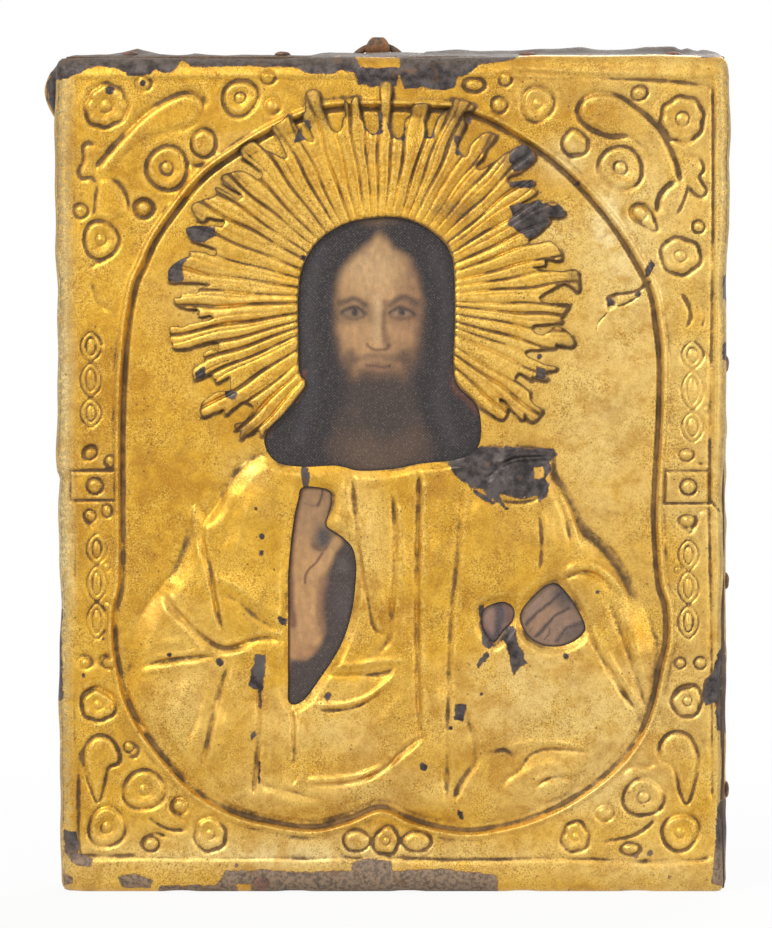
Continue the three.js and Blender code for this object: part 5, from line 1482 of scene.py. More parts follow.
def lacquered_sheet(name, deep, gold, light, pale):
    """Gold lacquer over thin sheet metal, brown in its grooves, darkened by painted shadow round and along
    the halo plate, brighter by painted highlight on its ridges, and worn to the bare metal in places
    """
    looks = bpy.context.scene.icon_finish
    s = Shading(name)
    clouds = s.noise(26, 3, 0.5)
    patches = s.noise(5.5, 4, 0.6, warp=0.4)
    grain = s.noise(1.1, 4, 0.65)
    fine = s.noise(0.42, 2, 0.7)
    axes = s.add("ShaderNodeSeparateXYZ", {"Vector": s.place})
    across = axes.outputs["X"]
    up = axes.outputs["Z"]
    tone = s.calc("ADD", s.times(clouds, 0.5), s.times(patches, 0.5))
    colour = s.blend(s.step(tone, 0.39, 0.52), deep, gold)
    colour = s.blend(s.times(s.step(tone, 0.5, 0.66), 0.8), colour, light)
    faded = s.times(s.step(across, 0.01, 0.085), s.step(s.noise(14, 3, 0.6), 0.36, 0.6))
    colour = s.blend(s.times(faded, 0.5), colour, pale)
    cloud = s.times(s.value("pale"), s.step(patches, 0.34, 0.54, 0.5, 1.3))
    colour = s.blend(s.times(cloud, 1.0, limit=True), colour, (0.86, 0.63, 0.245))
    cream = s.times(s.step(s.value("pale"), 0.6, 1.0), s.step(patches, 0.36, 0.52, 0.25, 1.0))
    colour = s.blend(s.times(cream, 0.62), colour, (0.93, 0.76, 0.41))
    stains = s.step(s.noise(9, 5, 0.65, warp=0.6), 0.5, 0.66)
    colour = s.blend(s.times(stains, 0.38), colour, (0.40, 0.19, 0.04))
    blotches = s.step(s.noise(1.9, 4, 0.7), 0.44, 0.64)
    colour = s.blend(s.times(blotches, 0.34), colour, (0.46, 0.225, 0.035))
    # Painted highlight: brighter gold on the ridge tops, broken up by grain
    ridge_highlight = s.times(s.value("shine"), s.step(grain, 0.4, 0.6))
    colour = s.blend(s.times(ridge_highlight, 0.45), colour, (0.93, 0.66, 0.18))

    rim = s.step(s.calc("ABSOLUTE", across), 0.083, 0.0885)
    dense = s.calc("MAXIMUM", s.step(s.noise(13, 3, 0.6), 0.42, 0.64, 0.34, 1.0), rim)
    colour = s.blend(s.times(s.times(s.step(fine, 0.47, 0.38), dense), 0.5), colour,
                     (0.95, 0.70, 0.19))
    colour = s.blend(s.times(s.times(s.step(fine, 0.53, 0.62), dense), 0.66), colour,
                     (0.24, 0.12, 0.03))
    colour = s.blend(s.times(s.times(rim, s.step(grain, 0.36, 0.58)), 0.72), colour,
                     (0.34, 0.265, 0.15))

    freckles = s.step(s.cells(1.9), 0.19, 0.11)
    some = s.step(s.noise(7, 2, 0.5), 0.52, 0.62)
    freckles = s.times(freckles, some)
    # Brown dirt in the hollows, the freckles, and the painted shadow round the halo plate and along its
    # edges, all carried by one attribute
    dirt_and_shade = s.calc("ADD", s.value("grime"), s.times(s.calc("SUBTRACT", grain, 0.5), 0.9))
    dirt_and_shade = s.step(dirt_and_shade, 0.2, 0.95)
    dirt_and_shade = s.times(dirt_and_shade, looks.grime)
    dirt_and_shade = s.calc("MAXIMUM", dirt_and_shade, s.times(freckles, 0.7))
    brown = s.blend(s.step(patches, 0.4, 0.6), (0.075, 0.045, 0.027), (0.2, 0.11, 0.045))
    colour = s.blend(s.times(dirt_and_shade, 0.92, limit=True), colour, brown)

    ragged = s.times(s.calc("SUBTRACT", s.noise(2.2, 5, 0.7, warp=0.6), 0.5), 0.55)
    edge = s.calc("ADD", s.value("bare"), ragged)
    edge = s.calc("ADD", edge, looks.wear - 0.5)
    tin = s.blend(s.step(s.noise(3.0, 4, 0.65), 0.35, 0.65), (0.04, 0.034, 0.034), tuple(looks.bare_sheet))
    foot = s.step(up, 0.016, 0.006)
    head = s.step(up, 0.217, 0.223)
    ends = s.calc("MAXIMUM", foot, head)
    end_tone = s.blend(head, (0.42, 0.30, 0.20), (0.2, 0.165, 0.14))
    tin = s.blend(s.times(ends, s.step(grain, 0.38, 0.6, 0.25, 0.85)), tin, end_tone)
    rust = s.step(s.noise(4.2, 4, 0.6, warp=0.5), 0.56, 0.68)
    tin = s.blend(s.times(rust, 0.5), tin, (0.22, 0.11, 0.05))
    colour = s.blend(s.step(edge, 0.47, 0.53), colour, (0.28, 0.14, 0.055))
    gone = s.step(edge, 0.51, 0.57)
    colour = s.blend(gone, colour, tin)

    dull = s.calc("MAXIMUM", s.times(dirt_and_shade, 0.8), s.times(gone, 0.12))
    dull = s.calc("MAXIMUM", dull, s.times(rim, 0.35))
    dull = s.calc("MAXIMUM", dull, s.times(s.times(gone, ends), 0.95))
    rough = s.calc("ADD", s.step(grain, 0.3, 0.7, 0.34, 0.5), s.times(dull, 0.25))
    metal = s.calc("SUBTRACT", 0.72, s.times(dull, 0.55))
    normal = s.bump(s.noise(2.4, 3, 0.6), 0.12, 0.5)
    normal = s.bump(s.calc("ADD", s.times(grain, 0.8), s.times(fine, 0.55)), 0.07, 0.6, normal)
    normal = s.bump(edge, -0.06, 0.4, normal)
    return s.done(colour=colour, rough=rough, metal=metal, normal=normal, specular=0.22)


def made_once(name, make, *values):
    """The material of that name, made from the values if it isn't there yet"""
    return bpy.data.materials.get(name) or make(name, *values)


def gilt_material():
    """Worn gold lacquer"""
    gold = tuple(bpy.context.scene.icon_finish.cover_gold)
    return made_once("worn_gold_lacquer", lacquered_sheet, (0.52, 0.25, 0.022), gold,
                     (0.81, 0.475, 0.06), (0.74, 0.52, 0.17))


def halo_material():
    """The halo's gold lacquer, brighter on its ridges"""
    gold = tuple(bpy.context.scene.icon_finish.halo_gold)
    return made_once("halo_gold_lacquer", lacquered_sheet, (0.50, 0.235, 0.02), gold,
                     (0.82, 0.48, 0.065), (0.76, 0.53, 0.17))


def iron_material(name, dark, rust, bright, rusted):
    """Rusted iron"""
    s = Shading(name)
    patches = s.noise(2.6, 5, 0.65, warp=0.3)
    grain = s.noise(0.5, 4, 0.7)
    colour = s.blend(s.step(patches, 0.5 - 0.2 * rusted, 0.72 - 0.3 * rusted), dark, rust)
    colour = s.blend(s.times(s.step(grain, 0.52, 0.72), 0.6), colour, bright)
    pits = s.step(s.cells(0.9), 0.28, 0.12)
    colour = s.blend(s.times(pits, 0.55), colour, tuple(0.35 * v for v in dark))
    rough = s.step(grain, 0.3, 0.7, 0.62, 0.88)
    height = s.calc("SUBTRACT", s.calc("ADD", patches, s.times(grain, 0.6)), s.times(pits, 0.4))
    return s.done(colour=colour, rough=rough, metal=0.25, normal=s.bump(height, 0.12, 0.7))


def wood_material(name, pale, deep, dark, seed):
    """Old bare softwood, its grain along X for a batten and along Z for the board"""
    along = (1, 1, 1 / 16) if seed == 1 else (1 / 16, 1, 1)
    s = Shading(name)
    stretched = s.stretched(along, shift=(0.3 * seed, 0.1, 0.2))
    rings = s.noise(7, 3, 0.5, place=stretched, warp=1.2)
    bands = s.calc("SINE", s.times(rings, 46.0))
    fibre = s.noise(0.9, 4, 0.6, place=stretched)
    long_place = s.stretched((1, 1, 1 / 5) if seed == 1 else (1 / 5, 1, 1))
    stains = s.noise(20, 4, 0.6, place=long_place)
    colour = s.blend(s.step(bands, -0.6, 0.9), pale, deep)
    colour = s.blend(s.times(s.step(fibre, 0.42, 0.66), 0.5), colour, dark)
    colour = s.blend(s.times(s.step(stains, 0.42, 0.72), 0.6), colour, dark)
    height = s.calc("ADD", s.times(bands, 0.12), fibre)
    rough = s.step(fibre, 0.3, 0.7, 0.62, 0.82)
    return s.done(colour=colour, rough=rough, normal=s.bump(height, 0.14, 0.7), specular=0.3)


def board_material():
    """The board's darkened pine"""
    return made_once("board_pine", wood_material, (0.22, 0.125, 0.062), (0.15, 0.08, 0.04),
                     (0.055, 0.032, 0.019), 1)


def batten_material():
    """The battens' lighter wood"""
    return made_once("old_batten_wood", wood_material, (0.29, 0.175, 0.09), (0.2, 0.112, 0.055),
                     (0.08, 0.047, 0.027), 2)


def ground_material(name):
    """Dark paint and varnish on the chalk ground, where no picture is painted"""
    s = Shading(name)
    cracks = s.step(s.cells(4.5, feature="DISTANCE_TO_EDGE"), 0.03, 0.012)
    colour = s.blend(s.noise(6, 4, 0.6), (0.03, 0.022, 0.018), (0.075, 0.05, 0.036))
    colour = s.blend(s.times(cracks, 0.6), colour, (0.3, 0.25, 0.18))
    height = s.calc("SUBTRACT", s.times(s.noise(0.6, 3, 0.6), 0.4), cracks)
    rough = s.step(s.noise(2, 3), 0.3, 0.7, 0.35, 0.55)
    return s.done(colour=colour, rough=rough, normal=s.bump(height, 0.08, 0.6))


def paint_material(name):
    """Oil paint on the ground: its colour is the mesh's own, over a fine weave with painted glints on its
    threads
    """
    s = Shading(name)
    painted = s.add("ShaderNodeVertexColor", layer_name="paint").outputs["Color"]
    turned = s.stretched((1, 1, 1), turn=(0, math.radians(3), 0))
    weave = s.add("ShaderNodeSeparateXYZ", {"Vector": turned})
    threads = [s.calc("SINE", s.times(weave.outputs[axis], 2 * math.pi / 0.00085)) for axis in ("X", "Z")]
    cloth = s.times(threads[0], threads[1])
    # Pale flecks on the weave's threads: painted glints of light, which show as grey specks on the lighter
    # skin
    weave_glints = s.step(s.calc("ADD", s.times(cloth, 0.08), s.noise(0.42, 3, 0.8)), 0.53, 0.68)
    strokes = s.noise(1.6, 3, 0.6, place=s.stretched((1, 1, 0.45)))
    colour = s.blend(s.step(strokes, 0.35, 0.65, 0.0, 0.16), painted, (0.05, 0.035, 0.03))
    colour = s.blend(s.times(weave_glints, 0.27), colour, (0.40, 0.34, 0.30))
    specks = s.step(s.noise(0.36, 2, 0.8), 0.42, 0.34)
    colour = s.blend(s.times(specks, 0.3), colour, (0.035, 0.026, 0.024))
    height = s.calc("ADD", s.times(cloth, 0.25), strokes)
    rough = s.step(strokes, 0.3, 0.7, 0.38, 0.55)
    return s.done(colour=colour, rough=rough, normal=s.bump(height, 0.06, 0.5))


def strap_material():
    """The hanger's rusty sheet"""
    return made_once("rusty_strap", iron_material, (0.12, 0.085, 0.062), (0.34, 0.15, 0.06),
                     (0.42, 0.31, 0.2), 0.6)


def ring_material():
    """The ring's dark wire"""
    return made_once("dark_wire", iron_material, (0.085, 0.068, 0.058), (0.2, 0.11, 0.06),
                     (0.3, 0.26, 0.22), 0.4)


def nail_material():
    """The nails' rust"""
    return made_once("nail_rust", iron_material, (0.14, 0.085, 0.068), (0.3, 0.16, 0.11),
                     (0.42, 0.29, 0.24), 0.55)


# The painting behind the openings

def tone(red, green, blue):
    """A colour for numbers from 0 to 255 as a screen shows them"""
    return tuple((v / 255) ** 2.2 for v in (red, green, blue))


hair_tone = (36, 28, 31)
face_middle_px = 378
hair_middle_px = 379
neck_half_px = [
    (379, 224), (374, 236), (364, 247), (349, 260), (338, 280), (333, 305), (333, 335), (337, 362),
    (345, 385), (338, 410), (325, 445), (320, 480), (255, 480), (255, 400), (290, 300), (300, 225),
]

# Coats of paint: shape, points, size, softness, tone and strength; an oval has its two sizes and its lean.
head_coats = [
    ("oval", [(380, 444)], (50, 36, 0), 18, (94, 72, 56), 0.95),
    ("oval", [(379, 322)], (50, 86, 0), 14, (170, 124, 83), 1.0),
    ("oval", [(374, 300)], (37, 64, 0), 26, (206, 160, 108), 0.95),
    ("oval", [(376, 266)], (27, 20, 0), 16, (219, 177, 124), 0.8),
    ("oval", [(411, 330)], (16, 60, 0), 16, (128, 90, 64), 0.55),
    ("pair", [(25, 313)], (17, 9, -4), 8, (112, 82, 60), 0.75),
    ("pair", [(13, 304), (20, 300), (29, 299), (38, 303)], 2.2, 4.0, (70, 52, 44), 0.75),
    ("pair", [(12, 313), (17, 309.5), (24, 308), (31, 310), (36, 314)], 1.2, 2.4, (52, 39, 35), 0.85),
    ("pair", [(23.5, 313)], (7.5, 3.0, 0), 2, (168, 139, 112), 0.7),
    ("pair", [(23.5, 312.4)], (3.4, 3.6, 0), 1.6, (46, 36, 34), 0.95),
    ("pair", [(13, 316), (20, 319), (28, 319), (34, 316)], 0.9, 2.0, (96, 70, 54), 0.55),
    ("pair", [(26, 335)], (13, 10, 0), 11, (216, 163, 113), 0.45),
    ("line", [(385, 302), (384, 316), (384.5, 330), (387, 343)], 2.2, 3.4, (124, 88, 64), 0.7),
    ("line", [(377, 296), (377, 318), (377.5, 338)], 2.4, 4.5, (225, 184, 134), 0.75),
    ("oval", [(378, 343)], (5.5, 4.5, 0), 3.5, (220, 172, 122), 0.7),
    ("line", [(368, 345), (371, 348.5), (378, 350), (385, 348.5), (388, 345)], 1.0, 1.8, (104, 70, 52),
     0.75),
    ("oval", [(378, 403)], (43, 36, 0), 13, (62, 50, 45), 0.97),
    ("pair", [(55, 284), (53, 312), (49, 340), (43, 366), (34, 388)], 7, 11, (60, 49, 45), 0.9),
    ("pair", [(2, 355.6), (10, 356.4), (18, 358.2), (24, 361)], 2.2, 4.2, (98, 74, 58), 0.55),
    ("pair", [(27, 356), (31, 364), (33, 378)], 4.4, 6.0, (78, 60, 51), 0.65),
    ("oval", [(378, 377)], (8, 2.4, 0), 4, (128, 94, 71), 0.5),
    ("oval", [(378, 369.4)], (7.5, 2.0, 0), 2.6, (160, 110, 86), 0.75),
    ("line", [(371, 363.8), (375, 363.0), (378, 363.8), (381, 363.0), (385, 363.8)], 0.9, 2.2,
     (148, 102, 80), 0.6),
    ("line", [(366, 364.6), (371, 366.2), (378, 366.6), (385, 366.2), (390, 364.6)], 0.6, 1.9, (92, 60, 50),
     0.75),
    ("line", [(352, 408), (362, 428), (374, 438)], 3.5, 6, (94, 74, 60), 0.4),
    ("sides", neck_half_px, 0, 7, hair_tone, 1.0),
    ("line", [(322, 250), (310, 290), (308, 340), (312, 390), (298, 440)], 4, 9, (70, 66, 72), 0.5),
    ("line", [(436, 255), (446, 300), (446, 350), (440, 400), (452, 440)], 4, 9, (70, 64, 68), 0.45),
    ("line", [(328, 300), (325, 350), (330, 400), (322, 440)], 3, 7, (38, 33, 36), 0.6),
    ("line", [(336, 463), (350, 470), (368, 474), (390, 475), (410, 470), (428, 463)], 1.0, 1.5,
     (40, 30, 30), 0.9),
    ("line", [(455, 372), (456, 386), (466, 397), (478, 410)], 3.5, 5, (112, 66, 52), 0.8),
    ("line", [(304, 372), (303, 388), (296, 400)], 2.2, 3.5, (112, 66, 48), 0.75),
    ("line", [(284, 410), (272, 424), (267, 436)], 2.2, 3.5, (106, 62, 50), 0.6),
]
hand_coats = [
    ("oval", [(310, 590)], (90, 190, 0), 1, (212, 161, 102), 1.0),
    ("oval", [(318, 505)], (32, 42, 0), 20, (172, 133, 94), 0.9),
    ("oval", [(305, 625)], (20, 30, 0), 16, (208, 158, 106), 0.7),
    ("line", [(299, 490), (294, 520), (290, 555), (289, 585), (291, 610), (294, 625)], 3.0, 4.0,
     (124, 82, 60), 0.9),
    ("line", [(322, 490), (321, 498), (318, 505)], 0.9, 1.6, (86, 60, 50), 0.85),
    ("line", [(305, 503), (312, 506), (318, 504)], 0.6, 1.6, (122, 88, 66), 0.5),
    ("oval", [(323, 538)], (9, 13, -20), 6, (74, 72, 72), 0.95),
    ("line", [(313, 545), (321, 551), (326, 549)], 1.2, 2.4, (112, 78, 60), 0.7),
    ("area", [(333, 520), (341, 540), (337, 549), (331, 562), (325, 577), (322, 600), (324, 625),
     (321, 642), (311, 655), (296, 660), (288, 664), (285, 710), (330, 720), (375, 640), (375, 520)], 0, 5,
     (62, 53, 54), 0.97),
    ("oval", [(344, 566)], (6, 7, 0), 4, (104, 95, 92), 0.7),
    ("oval", [(343, 606)], (7, 14, 0), 6, (88, 80, 80), 0.6),
    ("line", [(322, 581), (321, 610), (322, 632)], 3.4, 5, (128, 92, 72), 0.6),
    ("line", [(337, 541), (331, 552), (323, 563), (313, 577)], 3.0, 3.6, (206, 160, 108), 0.8),
    ("line", [(322, 554), (315, 563), (308, 572), (304, 584)], 0.9, 1.5, (110, 70, 56), 0.85),
    ("line", [(296, 652), (304, 655), (312, 650)], 3.5, 5, (176, 122, 88), 0.5),
]
fingers_coats = [
    ("oval", [(550, 615)], (80, 80, 0), 1, (156, 124, 101), 1.0),
    ("oval", [(539, 604)], (10, 22, -40), 7, (160, 132, 110), 0.7),
    ("oval", [(542, 620)], (8, 20, -40), 7, (176, 136, 102), 0.8),
    ("oval", [(560, 628)], (9, 20, -48), 7, (164, 130, 108), 0.8),
    ("oval", [(577, 634)], (8, 18, -60), 6, (112, 94, 86), 0.85),
    ("oval", [(566, 594)], (12, 14, -20), 8, (76, 68, 66), 0.85),
    ("line", [(526, 625), (541, 609), (553, 600), (562, 594)], 1.0, 2.0, (66, 54, 52), 0.9),
    ("line", [(535, 637), (549, 623), (555, 616), (569, 609)], 1.1, 2.2, (66, 54, 52), 0.9),
    ("line", [(557, 640), (569, 629), (584, 623)], 1.2, 2.6, (74, 62, 60), 0.8),
    ("line", [(549, 628), (548.5, 634), (544, 640)], 0.5, 1.0, (86, 62, 52), 0.8),
    ("line", [(528, 632), (533, 627)], 0.4, 1.0, (96, 70, 58), 0.6),
    ("line", [(524, 612), (530, 598), (541, 588)], 1.1, 2.0, (196, 160, 116), 0.5),
]
tip_coats = [
    ("oval", [(495, 620)], (60, 60, 0), 1, (152, 118, 106), 1.0),
    ("oval", [(489, 616)], (6, 11, 0), 5, (172, 134, 112), 0.6),
    ("line", [(498, 603), (500, 618), (497, 636)], 3.2, 4.0, (72, 66, 72), 0.9),
    ("line", [(507, 608), (508, 620)], 2.6, 3.0, (116, 86, 74), 0.7),
    ("line", [(484, 632), (492, 641)], 3.0, 4.0, (74, 60, 66), 0.8),
]


def coat_share(kind, points, size, soft, x, y):
    """How much of a coat of paint lies on each place, for sizes in pixels"""
    if kind == "oval":
        wide, high, lean = size
        u, v = turned(x - points[0][0], points[0][1] - y, lean)
        away = (np.hypot(u / wide, v / high) - 1) * min(wide, high)
        return 1 - rise(away, -soft, soft)
    if kind == "line":
        line = smooth_line(points, 1.5)
        away = np.full(x.shape, 1e9)
        for (ax, ay), (bx, by) in zip(line, line[1:]):
            length = max(1e-9, (bx - ax) ** 2 + (by - ay) ** 2)
            t = np.clip(((x - ax) * (bx - ax) + (y - ay) * (by - ay)) / length, 0, 1)
            away = np.minimum(away, np.hypot(x - ax - t * (bx - ax), y - ay - t * (by - ay)))
        return 1 - rise(away - size, -0.5 * soft, soft)
    depth = depth_in(points, soft * across_px, step=0.5)
    return rise(read(depth, *spot(np.stack([x, y], -1)).T) / across_px, -soft, soft)


def mirrored(kind, points, size):
    """The shapes of a coat: one as it is, or one for each side of the face"""
    if kind == "pair" and isinstance(size, tuple):
        wide, high, lean = size
        return [("oval", [(face_middle_px + side * x, y) for x, y in points], (wide, high, side * lean))
                for side in (-1, 1)]
    if kind == "pair":
        return [("line", [(face_middle_px + side * x, y) for x, y in points], size) for side in (-1, 1)]
    if kind == "sides":
        return [("area", [(hair_middle_px + side * (hair_middle_px - x), y) for x, y in points], size)
                for side in (-1, 1)]
    return [(kind, points, size)]


def painted_patch(name, outline, coats, seed):
    """A thin patch of paint on the ground, a little larger than its opening in the cover, with painted
    shadow along the opening's edge
    """
    spacing = 0.24
    region = depth_in(outline, 4) + 1.3
    places, quads, pieces, rim = cut_grid(region, spacing, 1, 1)
    px = places[:, 0] / across_px + middle_px
    py = frame_foot_px - places[:, 1] / up_px
    wander = read(mottle(1.1, seed), places[:, 0], places[:, 1])
    drift = read(mottle(0.9, seed + 1), places[:, 0], places[:, 1])
    bent_x = px + 0.7 * wander
    bent_y = py + 0.7 * drift
    colours = np.tile(tone(*hair_tone), (len(px), 1))
    for kind, points, size, soft, shade, strength in coats:
        share = np.zeros(len(px))
        for shape, way, extent in mirrored(kind, points, size):
            share = np.maximum(share, coat_share(shape, way, extent, soft, bent_x, bent_y))
        share = (share * strength)[:, None]
        colours = colours * (1 - share) + np.array(tone(*shade)) * share
    strokes = read(mottle(0.45, seed + 2), places[:, 0], places[:, 1])
    broad = read(mottle(2.5, seed + 3), places[:, 0], places[:, 1])
    colours *= (1 + 0.05 * strokes + 0.06 * broad)[:, None]
    # Painted shadow of the cover's cut edge: the paint goes nearly black under the cover and within 0.8 mm
    # of the opening, and keeps 0.85 of its colour further in
    depth = read(region, places[:, 0], places[:, 1]) - 1.3
    colours *= (0.06 + 0.79 * rise(depth, 0.12, 0.8))[:, None]
    mesh, ring = backed_mesh(name, places, 0.02 + 0.006 * strokes, quads + pieces, rim, -0.1)
    layer = mesh.attributes.new("paint", "FLOAT_COLOR", "POINT")
    every = np.vstack([colours, colours[ring]])
    every = np.column_stack([every, np.ones(len(every))]).astype(np.float32)
    layer.data.foreach_set("color", every.ravel())
    smooth_shaded(mesh)
    return finished(name, mesh, made_once("icon_paint", paint_material))


def painting():
    """The painted head, hand and fingers, and the dark ground round them"""
    painted_patch("painted_head", head_px, head_coats, 41)
    painted_patch("painted_hand", raised_hand_px, hand_coats, 51)
    painted_patch("painted_fingers", fingers_px, fingers_coats, 61)
    painted_patch("painted_finger_tip", finger_tip_px, tip_coats, 71)
    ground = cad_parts["painted_ground"]
    ground.data.materials.clear()
    ground.data.materials.append(made_once("dark_ground", ground_material))


# Board, battens, strap, ring and nails

noise_seed = 3


def rough_place(points, sizes, amounts, seed):
    """Random offsets for points in millimetres, as sums of soft noise of the given sizes"""
    noise.seed_set(noise_seed)
    offset = np.zeros((len(points), 3))
    for size, amount in zip(sizes, amounts):
        for k, p in enumerate(points / size):
            offset[k] += amount * np.array(noise.noise_vector(Vector(p) + Vector((seed, 0, 0))))
    return offset


def rounded_outline(corners, like, radius, step):
    """A closed outline with small round corners and as many points as a like one needs for a step"""
    corners = np.asarray(corners, float)
    like = np.asarray(like, float)
    lengths = np.hypot(*(np.roll(like, -1, 0) - like).T)
    places = []
    for before, at, after, known in zip(np.roll(corners, 1, 0), corners, np.roll(corners, -1, 0), lengths):
        back = (before - at) / np.hypot(*(before - at))
        on = (after - at) / np.hypot(*(after - at))
        places.extend([at + back * radius, at + (back + on) * radius * 0.3, at + on * radius])
        length = np.hypot(*(after - at)) - 2 * radius
        count = max(1, round((known - 2 * radius) / step))
        places.extend(at + on * (radius + length * k / count) for k in range(1, count))
    return np.array(places)


def lofted(name, section_at, places, material, node, rough, seed):
    """A closed wooden solid through sections across X, worn by noise, its ends a little rounded"""
    rings = []
    low, high = places[0], places[-1]
    for x in places:
        away = min(x - low, high - x)
        inset = 0.4 * (1 - math.sqrt(1 - (1 - min(away, 0.6) / 0.6) ** 2))
        ring = section_at(x)
        out = np.roll(ring, -1, 0) - np.roll(ring, 1, 0)
        out = np.stack([out[:, 1], -out[:, 0]], -1) / np.hypot(out[:, 0], out[:, 1])[:, None]
        ring = ring - out * inset
        rings.append(np.column_stack([np.full(len(ring), x), ring]))
    count = len(rings[0])
    points = np.vstack(rings)
    points = points + rough_place(points, (9.0, 2.6), rough, seed)
    faces = band_faces(len(rings), count)
    filled = fenced_triangles(rings[0][:, 1:], [(k, (k + 1) % count) for k in range(count)])
    last = len(points) - count
    faces += [tuple(reversed(face)) for face in filled] + [tuple(last + k for k in face) for face in filled]
    mesh = bpy.data.meshes.new(name)
    mesh.from_pydata((points / 1000).tolist(), [], faces)
    smooth_shaded(mesh, 50)
    return finished(name, mesh, material, nodes=(node,))


board_back = 9.95
board_foot = 0.85
board_top = 220.95
groove_floor = 3.8

# How far in from an end its rounding has its sections
worn_ends = np.array([0, 0.15, 0.4])
batten_half_width = 87.1

# Each batten's middle, and the side where it is the wider
batten_middles = {"upper": (177.8, 1), "lower": (44.0, -1)}


def batten_half(x, wide_end):
    """Half the height of a wedge batten at a place across"""
    return 12 + 1.5 * wide_end * x / batten_half_width


def battens():
    """The two wedge battens let into the back"""
    step = 1.6
    end = batten_half_width
    spread = np.linspace(-end + 0.8, end - 0.8, int(2 * end / step))
    places = np.concatenate([-end + worn_ends, spread, end - worn_ends[::-1]])
    for name, (middle, wide_end) in batten_middles.items():

        def corners(x):
            half = batten_half(x, wide_end)
            return [(4.0, middle - half), (10.0, middle - half + 2), (12.3, middle - half + 2),
                    (12.3, middle + half - 2), (10.0, middle + half - 2), (4.0, middle + half)]

        def section(x):
            return rounded_outline(corners(x), corners(0), 0.9, 1.5)

        lofted(f"batten_{name}", section, places, batten_material(), f"back_batten_{name}",
               (0.10, 0.08), 3 + wide_end)


# Drying cracks in the back: place across, 1 for the top or -1 for the foot, length and depth
board_cracks = [(-52.0, 1, 64.0, 1.6), (21.5, 1, 88.0, 2.0), (24.0, -1, 30.0, 1.2), (66.0, -1, 46.0, 1.4)]


def board():
    """The wooden panel, with grooves for the battens and drying cracks in its back"""
    step = 1.9
    spread = np.linspace(-86.3, 86.3, int(173 / step))
    near_cracks = [x + shift for x, _, _, _ in board_cracks for shift in (-0.7, -0.3, 0.0, 0.3, 0.7)]
    end = batten_half_width
    places = np.concatenate([-end + worn_ends, spread, near_cracks, end - worn_ends])
    places = np.unique(places.round(2))

    def corners(x):
        found = [(-board_back, board_foot), (board_back, board_foot)]
        for middle, wide_end in (batten_middles["lower"], batten_middles["upper"]):
            half = batten_half(x, wide_end) + 0.25
            low = middle - half
            high = middle + half
            found += [(board_back, low + 2), (groove_floor, low),
                      (groove_floor, high), (board_back, high - 2)]
        return found + [(board_back, board_top), (-board_back, board_top)]

    def section(x):
        outline = rounded_outline(corners(x), corners(0), 0.9, 1.9)
        y = outline[:, 0]
        z = outline[:, 1]
        back = (y > 9.2)
        for at, end, length, depth in board_cracks:
            open_way = z if end < 0 else 221 - z
            taper = np.clip(1 - open_way / length, 0, 1) ** 0.6
            y = y - back * depth * taper * math.exp(-((x - at - 0.4 * math.sin(0.02 * at)) / 0.28) ** 2)
        scallop = 0.1 * np.sin(z * 0.42 + 1.6 * np.sin(x * 0.05)) * np.sin(x * 0.19 + z * 0.03)
        y = y - back * (0.12 + scallop)
        return np.stack([y, z], -1)

    lofted("board", section, places, board_material(), "panel_board", (0.08, 0.06), 9)


strap_middle = -4.57
strap_pivot = (13.15, 225.9)
ring_height = 217.73


def strap():
    """The hanger's sheet, folded over the ring"""
    turns = np.radians(np.linspace(228, -128, 40))
    loop = [(strap_pivot[0] + 2.2 * math.cos(a), strap_pivot[1] + 2.2 * math.sin(a)) for a in turns]
    front = [(10.69, z) for z in np.linspace(199.9, 222.2, 30)]
    back = [(11.51, z) for z in np.linspace(222.0, 201.2, 28)]
    line = smooth_line(np.array(front + [(10.9, 223.4)] + loop + [(11.62, 223.0)] + back), 0.45)
    along = np.gradient(line, axis=0)
    along /= np.hypot(along[:, 0], along[:, 1])[:, None]
    side = np.stack([-along[:, 1], along[:, 0]], -1)
    z = line[:, 1]
    half = np.interp(z, (199.8, 203, 221.0, 222.8, 224.6), (5.3, 6.0, 9.7, 3.4, 3.3))
    dome = 3.3 * np.sqrt(np.clip(1 - ((z - 224.6) / 3.9) ** 2, 0.2, 1))
    half = np.where(z > 224.6, dome, half)
    columns = np.array([-1, -0.97, -0.88, -0.7, -0.5, -0.25, 0, 0.25, 0.5, 0.7, 0.88, 0.97, 1])
    thin = np.interp(np.abs(columns), (0, 0.88, 0.97, 1.0), (1, 1, 0.8, 0.45))
    centre = np.zeros((len(line), len(columns), 3))
    centre[..., 0] = strap_middle + half[:, None] * columns
    centre[..., 1] = line[:, :1]
    centre[..., 2] = line[:, 1:]
    shift = np.zeros_like(centre)
    shift[..., 1] = side[:, :1] * thin * 0.375
    shift[..., 2] = side[:, 1:] * thin * 0.375
    flat = centre.reshape(-1, 3)
    worn = rough_place(flat, (3.0, 0.9), (0.07, 0.05), 4) * np.array([1.0, 0.35, 0.35])
    top = flat + shift.reshape(-1, 3) + worn
    bottom = flat - shift.reshape(-1, 3) + worn
    mesh = slab_mesh("hanger_sheet", top / 1000, sheet_faces(len(line), len(columns)), bottom / 1000)
    turned_out(mesh)
    smooth_shaded(mesh, 60)
    return finished("hanger_sheet", mesh, strap_material(), nodes=("hanger_strap",))


def turned_out(mesh):
    """Turn a closed mesh's faces outward"""
    bm = bmesh.new()
    bm.from_mesh(mesh)
    bmesh.ops.recalc_face_normals(bm, faces=bm.faces)
    bm.to_mesh(mesh)
    bm.free()


